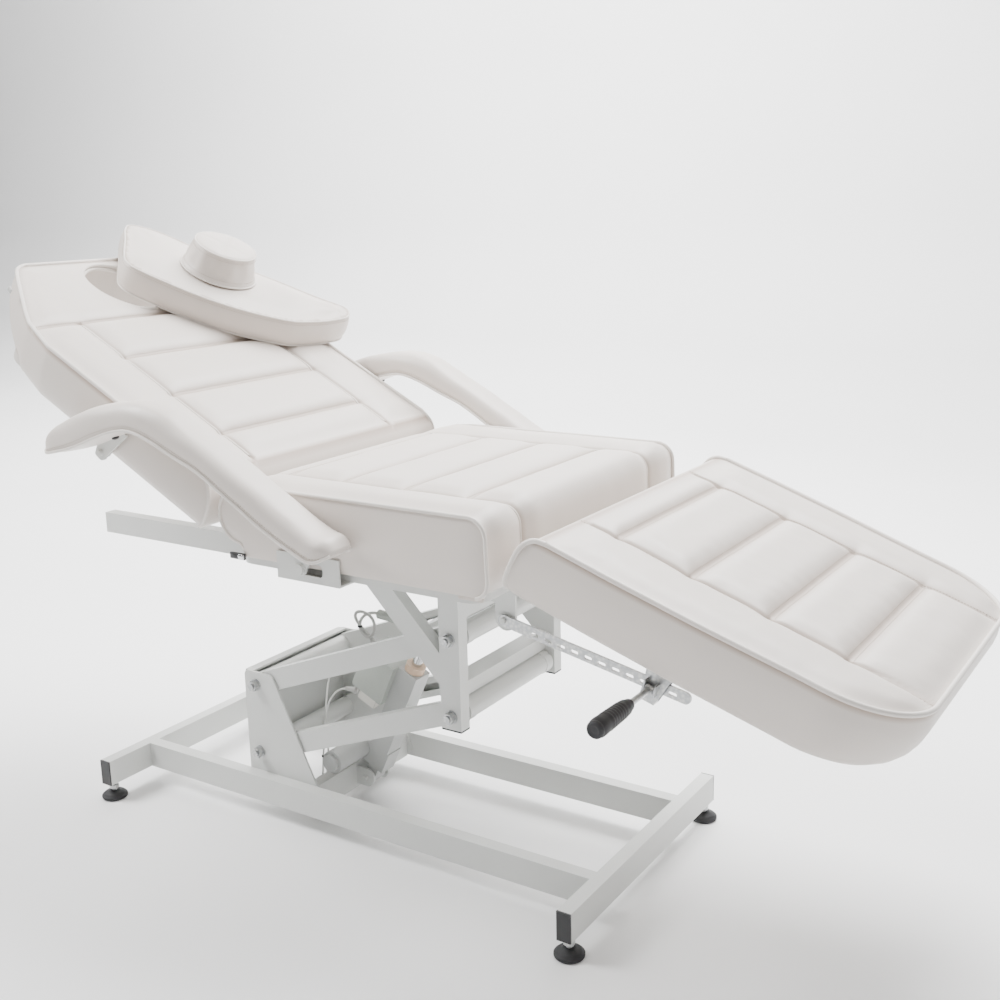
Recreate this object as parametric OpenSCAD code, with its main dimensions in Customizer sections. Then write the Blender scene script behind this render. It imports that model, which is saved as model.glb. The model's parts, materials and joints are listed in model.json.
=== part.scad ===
// Electric facial treatment bed: steel base, parallelogram lift with a linear actuator,
// seat, tilting backrest with coupled armrests, leg rest on a ratchet strut, and a pillow.
// Millimetres, +Z up, +X towards the foot end. The origin is on the floor under the middle.
// Lengths along the bed are worked out from the head end beam's outer face (x = 0) and the
// whole bed is then moved by origin_x, so that the origin is in the middle of its length.

/* [Base frame] */
// Length of the floor frame
base_length = 1070; // [1060:1:1100]
// Half of the end beams' length
beam_half = 270; // [260:1:300]
// Height of the underside of the base tubes above the floor
base_z = 33; // [30:1:40]
// Height of the base tubes
base_h = 50; // [40:1:52]
// Thickness of the base tubes
base_w = 25; // [20:1:30]
// Outer half width of the frame rails
frame_half = 166.5; // [166:0.5:170]
// Wall of the square tubes
wall = 2; // [1.5:0.5:3]

/* [Lift] */
// Distance between the pivots of one lift arm
arm_length = 507; // [500:1:510]
// Rest angle of the lift arms above the horizontal
arm_angle = 21; // [20:0.5:22]
// Height of a lift arm
arm_h = 40; // [36:1:42]
// Vertical distance between the two pivots on each side
pivot_gap = 136; // [134:1:140]
// Diameter of the pivot bolts
bolt_d = 12; // [10:1:14]

/* [Seat frame] */
// Height of the seat rails' underside
rail_z = 521; // [518:1:524]
// Height of the frame tubes
tube_h = 40; // [38:1:42]
// Thickness of the frame tubes
tube_w = 25; // [24:1:26]

/* [Upholstery] */
// Half width of the seat cushion
seat_half = 316; // [310:1:317]
// Half width of the backrest cushion
back_half = 318; // [312:1:319]
// Half width of the leg rest cushion
leg_half = 322; // [316:1:326]
// Slope of the backrest at rest
back_slope = 28.5; // [28:0.5:29]
// Slope of the leg rest at rest
leg_slope = 17.67; // [17:0.01:18]
// Radius of the rounded ends at the backrest hinge
roll_r = 50; // [48:0.5:50]

/* [Hidden] */
$fn = 48;
SKIN = 0.05;                 // running clearance on a pivot radius
origin_x = 663;              // middle of the bed's length, from the head end beam

base_top = base_z + base_h;
rail_in = frame_half - tube_w;
rail_top = rail_z + tube_h;
beam_x = [0, base_length - base_w];
cross_x = 426;
plate_t = 4;                 // pivot side plates

// Lift pivots: low and high on the base, low and high on the seat frame
p1 = [311, 258];
p2 = [p1[0], p1[1] - pivot_gap];
p3 = [p1[0] + arm_length * cos(arm_angle), p1[1] + arm_length * sin(arm_angle)];
p4 = [p3[0], p3[1] - pivot_gap];
arm_in = 116;                // inner face of the arm bars
arm_out = 136;               // outer face of the arm bars
sleeve_r = 19;
bush_r = 15;
upright_x = [764, 804];
upright_z = 281;

// Actuator: pin on the base, pin on the upper arm
act_a = [475, 58];
act_reach = 334;             // from the upper arm's base pivot to the rod pin
act_b = [p1[0] + act_reach * cos(arm_angle), p1[1] + act_reach * sin(arm_angle)];
act_len = norm(act_b - act_a);
act_angle = atan2(act_b[1] - act_a[1], act_b[0] - act_a[0]);
act_pin = 5;
act_end = 258;               // end of the housing, along the actuator
ring_end = 272;
rod_r = 10;
eye_r = 8;                   // eye of the rod, with the open pivot's clearance

// Hinge line of the leg rest, and the strut pivot
leg_hinge = [988, 583];
strut_pivot = [900, 497];
strut_y = -176;
latch_a = 196;               // latch in the leg rest's frame: along and below its top
latch_n = -197;

// Backrest and leg rest frames: where the top surface starts
back_origin = [430, 700];
leg_origin = [1038, 688];
hinge_a = 14.7;              // back hinge line in the backrest's frame
hinge_n = -50;
back_hinge = [back_origin[0] + hinge_a * cos(back_slope) + hinge_n * sin(back_slope),
              back_origin[1] - hinge_a * sin(back_slope) + hinge_n * cos(back_slope)];
rest_pivot_a = -245.6;       // armrest pivot in the backrest's frame
rest_pivot_n = -97.5;
rest_pivot = [back_origin[0] + rest_pivot_a * cos(back_slope) + rest_pivot_n * sin(back_slope),
              back_origin[1] - rest_pivot_a * sin(back_slope) + rest_pivot_n * cos(back_slope)];
rest_slide = [620, 583];     // glider at the front of the armrest

seat_bottom = 577;
seat_top = 699;
seat_front = 962;
seat_rear = back_hinge[0] + 58;

// Leads on the actuator, as routes in the bed's side plane: [x, y, z]
lead_route = [[458, -20, 296], [444, -24, 297], [431, -34, 292], [424, -48, 278], [421, -58, 258],
    [420, -64, 232], [419, -68, 204], [420, -70, 176], [422, -72, 148], [423, -73, 120],
    [421, -74, 94], [417, -74, 72], [412, -73, 56], [406, -70, 47], [400, -66, 47],
    [396, -63, 56], [396, -61, 72], [398, -61, 94], [401, -60, 120], [403, -58, 148],
    [405, -56, 176], [409, -52, 200], [416, -46, 220], [428, -38, 234], [444, -31, 238],
    [459, -26, 236]];
lead_r = 1.75;
loom_route = [[492.6, -1, 326.6], [486, -2, 337], [476, -6, 350], [466, -11, 364], [462, -17, 378],
    [466, -22, 390], [477, -25, 397], [491, -25, 397], [502, -22, 390], [506, -18, 378],
    [504, -15, 365], [498, -12, 353], [489, -10, 345], [479, -9, 343], [470, -9, 349],
    [466, -11, 360], [467, -10, 372],
    [475, -9, 383], [487, -9, 390], [499, -8, 393], [511, -8, 393]];
loom_r = 3;

// Feet, seat rails and braces, leg rest foam, and face hole [half length, half width]
foot_y = 255;
stud_r = 5;
rail_x = [-45, 888];
brace_slope = 46;
brace_x = 604;               // where the brace's rear edge meets the rail
face_a = -633;
face_hole = [92, 75];
leg_back = -8;               // hinge end of the leg rest, in its own frame
leg_end = 571;
leg_soft = -93;              // underside of the foam

// ---- Shared shapes -------------------------------------------------------------------

// Moves the bed so that the origin is under its middle
module placed() {
    translate([-origin_x, 0, 0]) children();
}

// A block between two corners
module block(low, high) {
    translate(low) cube(high - low);
}

// The same piece on the near side (-Y) and on the far side
module both_sides() {
    children();
    mirror([0, 1, 0]) children();
}

// A side view outline [x, z] drawn through the bed's width from y0 to y1
module across(y0, y1) {
    translate([0, y1, 0]) rotate([90, 0, 0]) linear_extrude(y1 - y0) children();
}

// A round bar along Y
module bar_y(at, r, y0, y1) {
    across(y0, y1) translate(at) circle(r);
}

// Square tube, open at both ends, between two corners; along = 0, 1 or 2 for X, Y or Z
module tube(low, high, along) {
    hollow = [for (i = [0:2]) i == along ? -1 : wall];
    difference() {
        block(low, high);
        block(low + hollow, high - hollow);
    }
}

// Points of an arc, from angle a0 to a1
function arc(centre, rx, ry, a0, a1, steps) =
    [for (i = [0:steps]) let (a = a0 + (a1 - a0) * i / steps)
        centre + [rx * cos(a), ry * sin(a)]];

// A list of [along, y] points and its mirror image, as one closed outline
function mirrored(points) =
    concat(points, [for (i = [len(points) - 1:-1:0]) [points[i][0], -points[i][1]]]);

module rounded(low, high, r) {
    translate([low[0] + r, low[1]]) square([high[0] - low[0] - 2 * r, high[1] - low[1]]);
    translate([low[0], low[1] + r]) square([high[0] - low[0], high[1] - low[1] - 2 * r]);
    for (x = [low[0] + r, high[0] - r], y = [low[1] + r, high[1] - r])
        translate([x, y]) circle(r);
}

// Hexagon nut with its washer, outside face at y, growing away from the frame
module nut_set(at, y) {
    across(-y - 2, -y) translate(at) difference() { circle(12); circle(bolt_d / 2 + 0.2); }
    across(-y - 12, -y - 2) translate(at) difference() {
        circle(10.5, $fn = 6);
        circle(bolt_d / 2 + 0.2);
    }
}

// Local frames of the arms, the actuator, the backrest and the leg rest
module arm_frame(pivot) {
    translate([pivot[0], 0, pivot[1]]) rotate([0, -arm_angle, 0]) children();
}

module actuator_frame() {
    translate([act_a[0], 0, act_a[1]]) rotate([0, -act_angle, 0]) children();
}

module back_frame() {
    translate([back_origin[0], 0, back_origin[1]]) rotate([0, back_slope, 0]) children();
}

module leg_frame() {
    translate([leg_origin[0], 0, leg_origin[1]]) rotate([0, leg_slope, 0]) children();
}

// A round lead: rings of `sides` points swept along a route
function ring_dir(route, i) =
    let (a = route[max(i - 1, 0)], b = route[min(i + 1, len(route) - 1)]) (b - a) / norm(b - a);

function ring(centre, dir, r, sides) =
    let (side = cross(dir, [0, 1, 0.2]),
         u = side / norm(side),
         v = cross(dir, u))
    [for (k = [0:sides - 1]) centre + r * (cos(360 * k / sides) * u + sin(360 * k / sides) * v)];

module lead(route, r, sides) {
    last = len(route) - 1;
    points = [for (i = [0:last]) each ring(route[i], ring_dir(route, i), r, sides)];
    walls = [for (i = [0:last - 1], k = [0:sides - 1])
        let (next = (k + 1) % sides)
        [i * sides + k, (i + 1) * sides + k, (i + 1) * sides + next, i * sides + next]];
    start_cap = [for (k = [0:sides - 1]) k];
    end_cap = [for (k = [sides - 1:-1:0]) last * sides + k];
    polyhedron(points, concat([start_cap], walls, [end_cap]), convexity = 8);
}

// ---- Base ----------------------------------------------------------------------------

// The two end beams, with a threaded hole under each end for its foot
module base_end_beams() {
    color("white") for (x = beam_x) difference() {
        tube([x, -beam_half, base_z], [x + base_w, beam_half, base_top], 1);
        for (y = [-foot_y, foot_y])
            translate([x + base_w / 2, y, base_z - 1]) cylinder(r = stud_r + SKIN, h = base_h / 2);
    }
}

module base_side_rails() {
    color("white") both_sides()
        tube([base_w, -frame_half, base_z], [base_length - base_w, -rail_in, base_top], 0);
}

module base_cross_beam() {
    color("white") tube([cross_x, -rail_in + plate_t, base_z],
        [cross_x + base_w, rail_in - plate_t, base_top], 1);
}

// Plastic plugs in the open ends of the beams
module base_end_caps() {
    color("#1c1c1e") for (x = beam_x) both_sides() {
        block([x, -beam_half - 3, base_z], [x + base_w, -beam_half, base_top]);
        block([x + wall, -beam_half, base_z + wall], [x + base_w - wall, -beam_half + 9, base_top - wall]);
    }
}

// A levelling foot: round pad, threaded stud and lock nut
module levelling_foot(x, y) {
    translate([x, y, 0]) {
        color("#1c1c1e") difference() {
            rotate_extrude() polygon([[0, 0], [23, 0], [25, 3], [25, 7], [21, 12], [11, 14], [0, 14]]);
            translate([0, 0, 6]) cylinder(r = stud_r, h = 20);
        }
        color("silver") translate([0, 0, 6]) cylinder(r = stud_r, h = 46);
        color("silver") translate([0, 0, 20]) difference() {
            cylinder(r = 9.5, h = 8, $fn = 6);
            translate([0, 0, -1]) cylinder(r = stud_r, h = 10);
        }
    }
}

module foot_number(index) {
    levelling_foot(beam_x[index % 2] + base_w / 2, index < 2 ? -foot_y : foot_y);
}

// The lift's pivot plates, standing on the inner side of the base rails
module pivot_side_plates() {
    color("white") both_sides() across(-rail_in, -rail_in + plate_t) difference() {
        polygon([[283, 45], [283, 276], [286, 282], [292, 284], [346, 284], [354, 280],
                 [449, 86], [462, 58], [462, 45]]);
        for (p = [p1, p2]) translate(p) circle(bolt_d / 2 + 0.1);
    }
}

// Folded sheet that closes the pivot plates on the head side
module pivot_back_plate() {
    color("white") across(-rail_in + plate_t, rail_in - plate_t)
        polygon([[283, 60], [283, 284], [302, 284], [302, 280], [287, 280], [287, 60]]);
}

module pivot_bolt(at, reach) {
    bar_y(at, bolt_d / 2, -reach, reach);
}

module base_pivot_bolts() {
    color("silver") for (p = [p1, p2]) {
        pivot_bolt(p, rail_in + 15);
        both_sides() nut_set(p, rail_in);
    }
}

// Bracket and pin that hold the actuator's lower end on the middle beam
module actuator_base_bracket() {
    face = cross_x + base_w;
    color("white") both_sides() across(-25, -20) difference() {
        union() {
            translate([face, 40]) square([24, 36]);
            translate(act_a) circle(18);
        }
        translate(act_a) circle(act_pin + SKIN);
        translate([face - 40, 20]) square([40, 70]);
    }
    color("silver") bar_y(act_a, act_pin, -34, 34);
}

// ---- Lift arms -----------------------------------------------------------------------

// One bar of a lift arm in its own frame, hollow, with a slot on its inner face
module arm_bar() {
    difference() {
        across(-arm_out, -arm_in) arm_outline(arm_h / 2);
        across(-arm_out + wall, -arm_in - wall) translate([sleeve_r + 6, -arm_h / 2 + wall])
            square([arm_length - 2 * sleeve_r - 12, arm_h - 2 * wall]);
        across(-arm_in - wall - 1, -arm_in + 1) translate([arm_length / 2, 0])
            rounded([-40, -7], [40, 7], 6.9);
    }
}

module arm_outline(r) {
    difference() {
        union() {
            translate([0, -r]) square([arm_length, 2 * r]);
            circle(r);
            translate([arm_length, 0]) circle(r);
        }
        circle(sleeve_r);
        translate([arm_length, 0]) circle(sleeve_r);
    }
}

module arm_sleeves() {
    for (s = [0, arm_length]) across(-arm_out, arm_out) translate([s, 0]) difference() {
        circle(sleeve_r);
        circle(bush_r);
    }
}

module arm_bushes() {
    for (s = [0, arm_length]) both_sides() across(-arm_out, -arm_out + 30) translate([s, 0])
        difference() {
            circle(bush_r);
            circle(bolt_d / 2 + SKIN);
        }
}

module upper_arm_bars() {
    color("white") arm_frame(p1) both_sides() arm_bar();
}

module upper_arm_sleeves() {
    color("white") arm_frame(p1) arm_sleeves();
}

module upper_arm_bushes() {
    color("ivory") arm_frame(p1) arm_bushes();
}

// Tube between the upper bars that takes the actuator's thrust
module upper_arm_cross_tube() {
    color("white") arm_frame(p1) tube([367, -arm_in, -20], [392, arm_in, 20], 1);
}

// Ears on the cross tube, with the pin of the actuator rod
module actuator_top_ears() {
    color("white") arm_frame(p1) both_sides() across(-28, -22) difference() {
        union() {
            translate([act_reach, -16]) square([367 - act_reach, 32]);
            translate([act_reach, 0]) circle(16);
        }
        translate([act_reach, 0]) circle(act_pin + SKIN);
    }
    color("silver") bar_y(act_b, act_pin, -34, 34);
}

module lower_arm_bars() {
    color("white") arm_frame(p2) both_sides() arm_bar();
}

module lower_arm_sleeves() {
    color("white") arm_frame(p2) arm_sleeves();
}

module lower_arm_bushes() {
    color("ivory") arm_frame(p2) arm_bushes();
}

// ---- Seat frame ----------------------------------------------------------------------

module seat_rails() {
    color("white") both_sides() difference() {
        block([rail_x[0], -frame_half, rail_z], [rail_x[1], -rail_in, rail_top]);
        block([rail_x[0] + wall, -frame_half + wall, rail_z + wall],
              [rail_x[1] + 1, -rail_in - wall, rail_top - wall]);
    }
}

module seat_rail_caps() {
    color("#1c1c1e") both_sides() {
        block([rail_x[1], -frame_half, rail_z], [rail_x[1] + 3, -rail_in, rail_top]);
        block([rail_x[1] - 9, -frame_half + wall, rail_z + wall],
              [rail_x[1], -rail_in - wall, rail_top - wall]);
    }
}

module uprights() {
    color("white") both_sides() difference() {
        tube([upright_x[0], -frame_half, upright_z], [upright_x[1], -rail_in, rail_z], 2);
        for (p = [p3, p4]) bar_y(p, bolt_d / 2 + 0.1, -frame_half - 1, -rail_in + 1);
    }
}

module upright_caps() {
    color("#1c1c1e") both_sides() {
        block([upright_x[0], -frame_half, upright_z - 3], [upright_x[1], -rail_in, upright_z]);
        block([upright_x[0] + wall, -frame_half + wall, upright_z],
              [upright_x[1] - wall, -rail_in - wall, upright_z + 9]);
    }
}

// Diagonal braces between the rails and the uprights

module brace_outline(inset) {
    width = tube_h / sin(brace_slope);
    cut = inset / sin(brace_slope);
    rear = brace_x + cut;
    front = brace_x + width - cut;
    fall = tan(brace_slope);
    polygon([[rear, rail_z], [front, rail_z],
             [upright_x[0], rail_z - (upright_x[0] - front) * fall],
             [upright_x[0], rail_z - (upright_x[0] - rear) * fall]]);
}

module frame_braces() {
    color("white") both_sides() difference() {
        across(-frame_half, -rail_in) brace_outline(0);
        across(-frame_half + wall, -rail_in - wall) brace_outline(wall);
    }
}

module lower_seat_cross() {
    color("white") tube([744, -rail_in, 325], [784, rail_in, 350], 1);
}

module upper_seat_cross() {
    color("white") tube([772, -rail_in, 472], [797, rail_in, 512], 1);
}

module frame_pivot_bolts() {
    color("silver") for (p = [p3, p4]) {
        pivot_bolt(p, frame_half + 15);
        both_sides() nut_set(p, frame_half);
    }
}

// ---- Seat ----------------------------------------------------------------------------

module seat_board() {
    color("burlywood") translate([0, 0, rail_top]) linear_extrude(seat_bottom - rail_top)
        rounded([445, -295], [935, 295], 30);
}

// Side view of the seat cushion: round at the rear, full at the front
module seat_side() {
    top_r = 22;
    bottom_r = 28;
    translate([seat_rear, back_hinge[1]]) circle(roll_r);
    translate([seat_rear, seat_bottom])
        square([seat_front - bottom_r - seat_rear, seat_top - seat_bottom]);
    translate([seat_front - bottom_r, seat_bottom + bottom_r])
        square([bottom_r, seat_top - seat_bottom - top_r - bottom_r]);
    translate([seat_front - top_r - 10, seat_top - top_r]) square([10, top_r]);
    translate([seat_front - top_r, seat_top - top_r]) circle(top_r);
    translate([seat_front - bottom_r, seat_bottom + bottom_r]) circle(bottom_r);
}

// Slots in the seat cushion for the backrest's hinge plates
module hinge_slots() {
    both_sides() block([back_hinge[0] - 20, -147, seat_bottom - 80],
                       [back_hinge[0] + 20, -124, back_hinge[1] + 18]);
}

module seat_cushion() {
    color("ivory") difference() {
        intersection() {
            across(-seat_half, seat_half) seat_side();
            linear_extrude(seat_top + 10)
                rounded([back_hinge[0] + 8, -seat_half], [seat_front, seat_half], 40);
        }
        hinge_slots();
    }
}

// Plates on the rails that carry the backrest's hinge pins
module back_hinge_cheeks() {
    color("white") both_sides() across(-rail_in, -rail_in + 5) difference() {
        union() {
            translate([back_hinge[0] - 12, rail_z + 4]) square([24, back_hinge[1] - rail_z - 4]);
            translate(back_hinge) circle(12);
        }
        translate(back_hinge) circle(4 + SKIN);
    }
    color("silver") both_sides() bar_y(back_hinge, 4, -rail_in - 2, -127);
}

// Straps on the rails that carry the leg rest's hinge pins
module leg_hinge_straps() {
    color("white") both_sides() across(-rail_in, -rail_in + 5) difference() {
        union() {
            polygon([[820, 526], [890, 526], leg_hinge + [5, -9.5], leg_hinge + [-6, 9],
                     [955, 567], [925, 556], [820, 556]]);
            translate(leg_hinge) circle(11);
        }
        translate(leg_hinge) circle(4 + SKIN);
    }
    color("silver") both_sides() bar_y(leg_hinge, 4, -rail_in - 2, -127);
}

// Plate on the near rail with the bolt that the ratchet rail turns on
module strut_bracket() {
    color("white") across(-frame_half - 5, -frame_half) difference() {
        union() {
            translate(strut_pivot) circle(19);
            translate([strut_pivot[0] - 19, strut_pivot[1]]) square([38, 62]);
        }
        translate(strut_pivot) circle(5 + SKIN);
    }
    color("silver") bar_y(strut_pivot, 5, -frame_half - 16, -frame_half - 0.5);
}

// Slotted angles under the seat's edges that the armrests' gliders run in
module armrest_slides() {
    slot_low = -13;
    slot_high = 7;
    color("silver") both_sides() {
        block([560, -320, rail_top - 3], [690, -255, rail_top]);
        across(-323, -320) difference() {
            translate([560, rail_top - 3]) square([130, 45]);
            translate(rest_slide) rounded([-14, slot_low], [36, slot_high], 6);
        }
    }
}

// ---- Actuator ------------------------------------------------------------------------

// In the actuator's frame, x runs from its lower pin to the rod's eye
module actuator_housing() {
    color("gainsboro") actuator_frame() {
        difference() {
            union() {
                across(-15, 15) difference() {
                    union() {
                        circle(14);
                        translate([0, -12]) square([27, 24]);
                    }
                    circle(act_pin + SKIN);
                }
                block([26, -19, -24], [72, 19, 60]);
                block([72, -22, -22], [act_end, 22, 22]);
            }
            translate([84, 0, 0]) rotate([0, 90, 0]) cylinder(r = rod_r + 2, h = act_end);
        }
    }
}

module actuator_motor() {
    color("gainsboro") actuator_frame() {
        bar_y([48, 40], 22, -104, -19);
        bar_y([48, 40], 16, -112, -104);
    }
}

// Wiper ring where the rod leaves the housing
module actuator_collar() {
    color("burlywood") actuator_frame() translate([act_end, 0, 0]) rotate([0, 90, 0]) difference() {
        cylinder(r = 19, h = ring_end - act_end);
        translate([0, 0, -1]) cylinder(r = rod_r + SKIN, h = 20);
    }
}

module control_box() {
    color("#a9b3a4") actuator_frame() difference() {
        block([172, -38, 22], [act_end, 38, 95]);
        block([176, -34, 26], [act_end - 4, 34, 91]);
    }
}

module terminal_block() {
    color("white") actuator_frame() block([154, -36, 34], [172, -8, 74]);
}

module motor_lead() {
    color("whitesmoke") lead(lead_route, lead_r, 8);
}

module sensor_lead() {
    color("lightgrey") lead(loom_route, loom_r, 8);
}

// In-line connector at the end of the sensor lead, resting on the actuator's ring
module lead_connector() {
    color("#8f988c") translate([511.3, -8, 393]) rotate([0, 4, 0]) rotate([0, 90, 0])
        difference() {
            cylinder(r = 9, h = 46);
            translate([0, 0, 40]) cylinder(r = 6, h = 10);
        }
}

module actuator_rod() {
    color("silver") actuator_frame() {
        difference() {
            union() {
                translate([114, 0, 0]) rotate([0, 90, 0])
                    cylinder(r = rod_r, h = act_len - 114 - 10);
                across(-13, 13) translate([act_len, 0]) circle(17);
            }
            bar_y([act_len, 0], eye_r, -14, 14);
        }
    }
}

// ---- Backrest ------------------------------------------------------------------------

// Oval breathing hole for the face

module face_opening(gap) {
    translate([0, 0, -130]) linear_extrude(150)
        polygon(arc([face_a, 0], face_hole[0] + gap, face_hole[1] + gap, 0, 350, 35));
}

module back_board() {
    color("burlywood") back_frame() difference() {
        translate([0, 0, -105]) linear_extrude(15) rounded([-600, -290], [-76, 290], 60);
        face_opening(6);
    }
}

// Plan of the backrest: round corners at the hinge, narrowing towards the head
module back_plan() {
    corner = 70;
    polygon(mirrored(concat(
        [[8, 0]],
        arc([8 - corner, back_half - corner], corner, corner, 0, 90, 10),
        [[-450, back_half], [-534, back_half - 20], [-580, back_half - 44]],
        arc([-686, 146], 58, 58, 117, 180, 8))));
}

module back_side() {
    translate([hinge_a - 58, hinge_n]) circle(roll_r);
    polygon([[hinge_a - 57, 0], [-729, 0], [-740, -6], [-744, -18], [-744, -56], [-738, -68],
             [-728, -72], [-600, -90], [hinge_a - 57, -90]]);
}

module back_cushion() {
    color("ivory") difference() {
        back_frame() intersection() {
            across(-back_half, back_half) back_side();
            translate([0, 0, -120]) linear_extrude(140) back_plan();
        }
        back_frame() face_opening(0);
        back_frame() both_sides() block([-32, -147, -120], [30, -124, hinge_n + 15]);
    }
}

// Plates under the backrest's board that turn on the hinge pins
module back_hinge_arms() {
    color("white") back_frame() both_sides() across(-135, -130) difference() {
        union() {
            translate([hinge_a, hinge_n]) circle(12);
            polygon([[hinge_a - 12, hinge_n + 2], [hinge_a + 11, hinge_n - 5],
                     [-10, -118], [-40, -125], [-240, -125], [-240, -105], [-76, -105],
                     [-70, -107], [-26, -107]]);
        }
        translate([hinge_a, hinge_n]) circle(4 + SKIN);
    }
}

// Pivot studs of the armrests, in the edges of the backrest's board
module armrest_stubs() {
    color("silver") both_sides() {
        bar_y(rest_pivot, 6, -342, -290);
        bar_y(rest_pivot, 10, -323, -320);
    }
}

// ---- Armrests ------------------------------------------------------------------------

// Side view of the pad: level at the rear, then falling to a round front end
function armrest_side() = concat(
    [[92, 752], [104, 778], [150, 797], [211, 820]],
    arc([330, 740], 105, 98, 118, 58, 8),
    [[420, 814], [576, 728], [700, 656]],
    arc([712, 640], 24, 22, 60, -120, 8),
    [[617, 655], [484, 734]],
    arc([338, 720], 70, 68, 55, 100, 5),
    [[284, 782], [186, 748], [110, 734]]);

module armrest_pad() {
    color("ivory") across(-407, -324) polygon(armrest_side());
}

// Steel bar under the pad: knuckle at the backrest, ear and glider at the seat
module armrest_bar() {
    slot_pin = 4;
    color("silver") across(-334, -330) difference() {
        union() {
            translate(rest_pivot) circle(14);
            polygon([rest_pivot + [-13, 4], rest_pivot + [-5, 20], rest_pivot + [60, 42],
                     rest_pivot + [70, 34], rest_pivot + [12, -6]]);
        }
        translate(rest_pivot) circle(6 + SKIN);
    }
    color("silver") across(-334, -330) difference() {
        union() {
            translate(rest_slide) circle(11);
            polygon([rest_slide + [-11, 0], rest_slide + [-4, 66], rest_slide + [44, 40],
                     rest_slide + [11, 0]]);
        }
        translate(rest_slide) circle(slot_pin);
    }
    color("#1c1c1e") bar_y(rest_slide, slot_pin, -334, -318);
    color("#1c1c1e") across(-340, -334) translate(rest_slide) circle(9);
}

// The pad, less the room that its steel bar takes
module padded_side() {
    difference() {
        armrest_pad();
        block([rest_pivot[0] - 30, -334, rest_pivot[1] - 30],
              [rest_pivot[0] + 80, -323, rest_pivot[1] + 50]);
        block([rest_slide[0] - 20, -334, rest_slide[1] - 20],
              [rest_slide[0] + 60, -323, rest_slide[1] + 75]);
    }
}

module near_armrest_pad() {
    padded_side();
}

module near_armrest_bar() {
    armrest_bar();
}

module far_armrest_pad() {
    mirror([0, 1, 0]) padded_side();
}

module far_armrest_bar() {
    mirror([0, 1, 0]) armrest_bar();
}

// ---- Leg rest ------------------------------------------------------------------------

module leg_board() {
    color("burlywood") leg_frame() translate([0, 0, -108]) linear_extrude(15)
        rounded([16, -285], [500, 285], 90);
}

module leg_plan() {
    corner = 45;
    foot = 150;
    polygon(mirrored(concat(
        [[leg_back, 0]],
        arc([leg_back + corner, leg_half - corner], corner, corner, 180, 90, 8),
        arc([leg_end - foot, leg_half - foot], foot, foot, 90, 0, 14))));
}

module leg_side() {
    polygon(concat(
        arc([leg_back + 18, -18], 18, 18, 180, 90, 6),
        arc([leg_end - 15, -15], 15, 15, 90, 0, 6),
        arc([leg_end - 71, leg_soft + 53], 71, 53, 0, -90, 10),
        arc([leg_back + 22, leg_soft + 22], 22, 22, -90, -180, 6)));
}

module leg_cushion() {
    color("ivory") leg_frame() intersection() {
        across(-leg_half, leg_half) leg_side();
        translate([0, 0, leg_soft - 5]) linear_extrude(120) leg_plan();
    }
}

// Leg hinge line in the leg rest's frame
function in_leg(p) = let (d = p - leg_origin)
    [d[0] * cos(leg_slope) - d[1] * sin(leg_slope), d[0] * sin(leg_slope) + d[1] * cos(leg_slope)];

module leg_hinge_arms() {
    eye = in_leg(leg_hinge);
    color("white") leg_frame() both_sides() across(-135, -130) difference() {
        union() {
            translate(eye) circle(11);
            polygon([eye + [-2, -11], eye + [14, 7], [150, -108], [150, -122], [40, -128]]);
        }
        translate(eye) circle(4 + SKIN);
    }
}

// Two plates below the leg rest that guide the ratchet rail and carry the lever
module latch_bracket() {
    color("silver") leg_frame() {
        for (y = [-185, -169]) across(y - 3, y)
            polygon([[latch_a - 26, -108], [latch_a + 44, -108], [latch_a + 10, latch_n - 26],
                     [latch_a - 12, latch_n - 26]]);
        block([latch_a - 12, -185, latch_n - 26], [latch_a + 10, -172, latch_n - 22]);
        for (a = [latch_a - 12, latch_a + 7])
            across(-200, -188) translate([a, latch_n - 9]) square([3, 20]);
        translate([latch_a - 9, -195, latch_n]) rotate([0, 90, 0]) cylinder(r = 3, h = 16);
    }
}

// Perforated bar between the strut bracket and the latch
module ratchet_rail() {
    latch = [leg_origin[0] + latch_a * cos(leg_slope) + latch_n * sin(leg_slope),
             leg_origin[1] - latch_a * sin(leg_slope) + latch_n * cos(leg_slope)];
    tilt = atan2(latch[1] - strut_pivot[1], latch[0] - strut_pivot[0]);
    reach = 320;
    color("silver") translate([strut_pivot[0], 0, strut_pivot[1]]) rotate([0, -tilt, 0])
        across(strut_y - 3, strut_y + 1) difference() {
            union() {
                translate([0, -9.5]) square([reach, 19]);
                circle(9.5);
                translate([reach, 0]) circle(9.5);
            }
            circle(5 + SKIN);
            for (s = [60:24:reach - 10]) translate([s, -2]) rounded([-7, -3], [7, 3], 2.9);
        }
}

// Rod of the release lever, with its eye on the latch bracket
module release_lever() {
    color("silver") leg_frame() difference() {
        union() {
            translate([latch_a - 8, -195, latch_n]) rotate([0, 90, 0]) cylinder(r = 6, h = 14);
            bar_y([latch_a - 1, latch_n], 5, -262, -198);
        }
        translate([latch_a - 9, -195, latch_n]) rotate([0, 90, 0]) cylinder(r = 3 + SKIN, h = 16);
    }
}

module lever_grip() {
    color("#1c1c1e") leg_frame() translate([latch_a - 1, -262, latch_n]) rotate([90, 0, 0])
        rotate_extrude()
            polygon([[0, 0], [9, 0], [12, 12], [14, 55], [14, 92], [11, 103], [0, 105]]);
}

// ---- Pillow --------------------------------------------------------------------------

// Half-moon pillow that lies on the head of the backrest
module pillow_plan() {
    polygon([[-592, -15], [-473, 44], [-375, 132], [-337, 190], [-332, 290], [-338, 345],
             [-368, 366], [-412, 345], [-487, 302], [-528, 272], [-660, 205], [-712, 180], [-752, 152],
             [-772, 116], [-720, 66], [-650, 2], [-622, -16]]);
}

module pillow() {
    color("ivory") back_frame() translate([0, 0, 3]) linear_extrude(70) pillow_plan();
}

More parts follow.
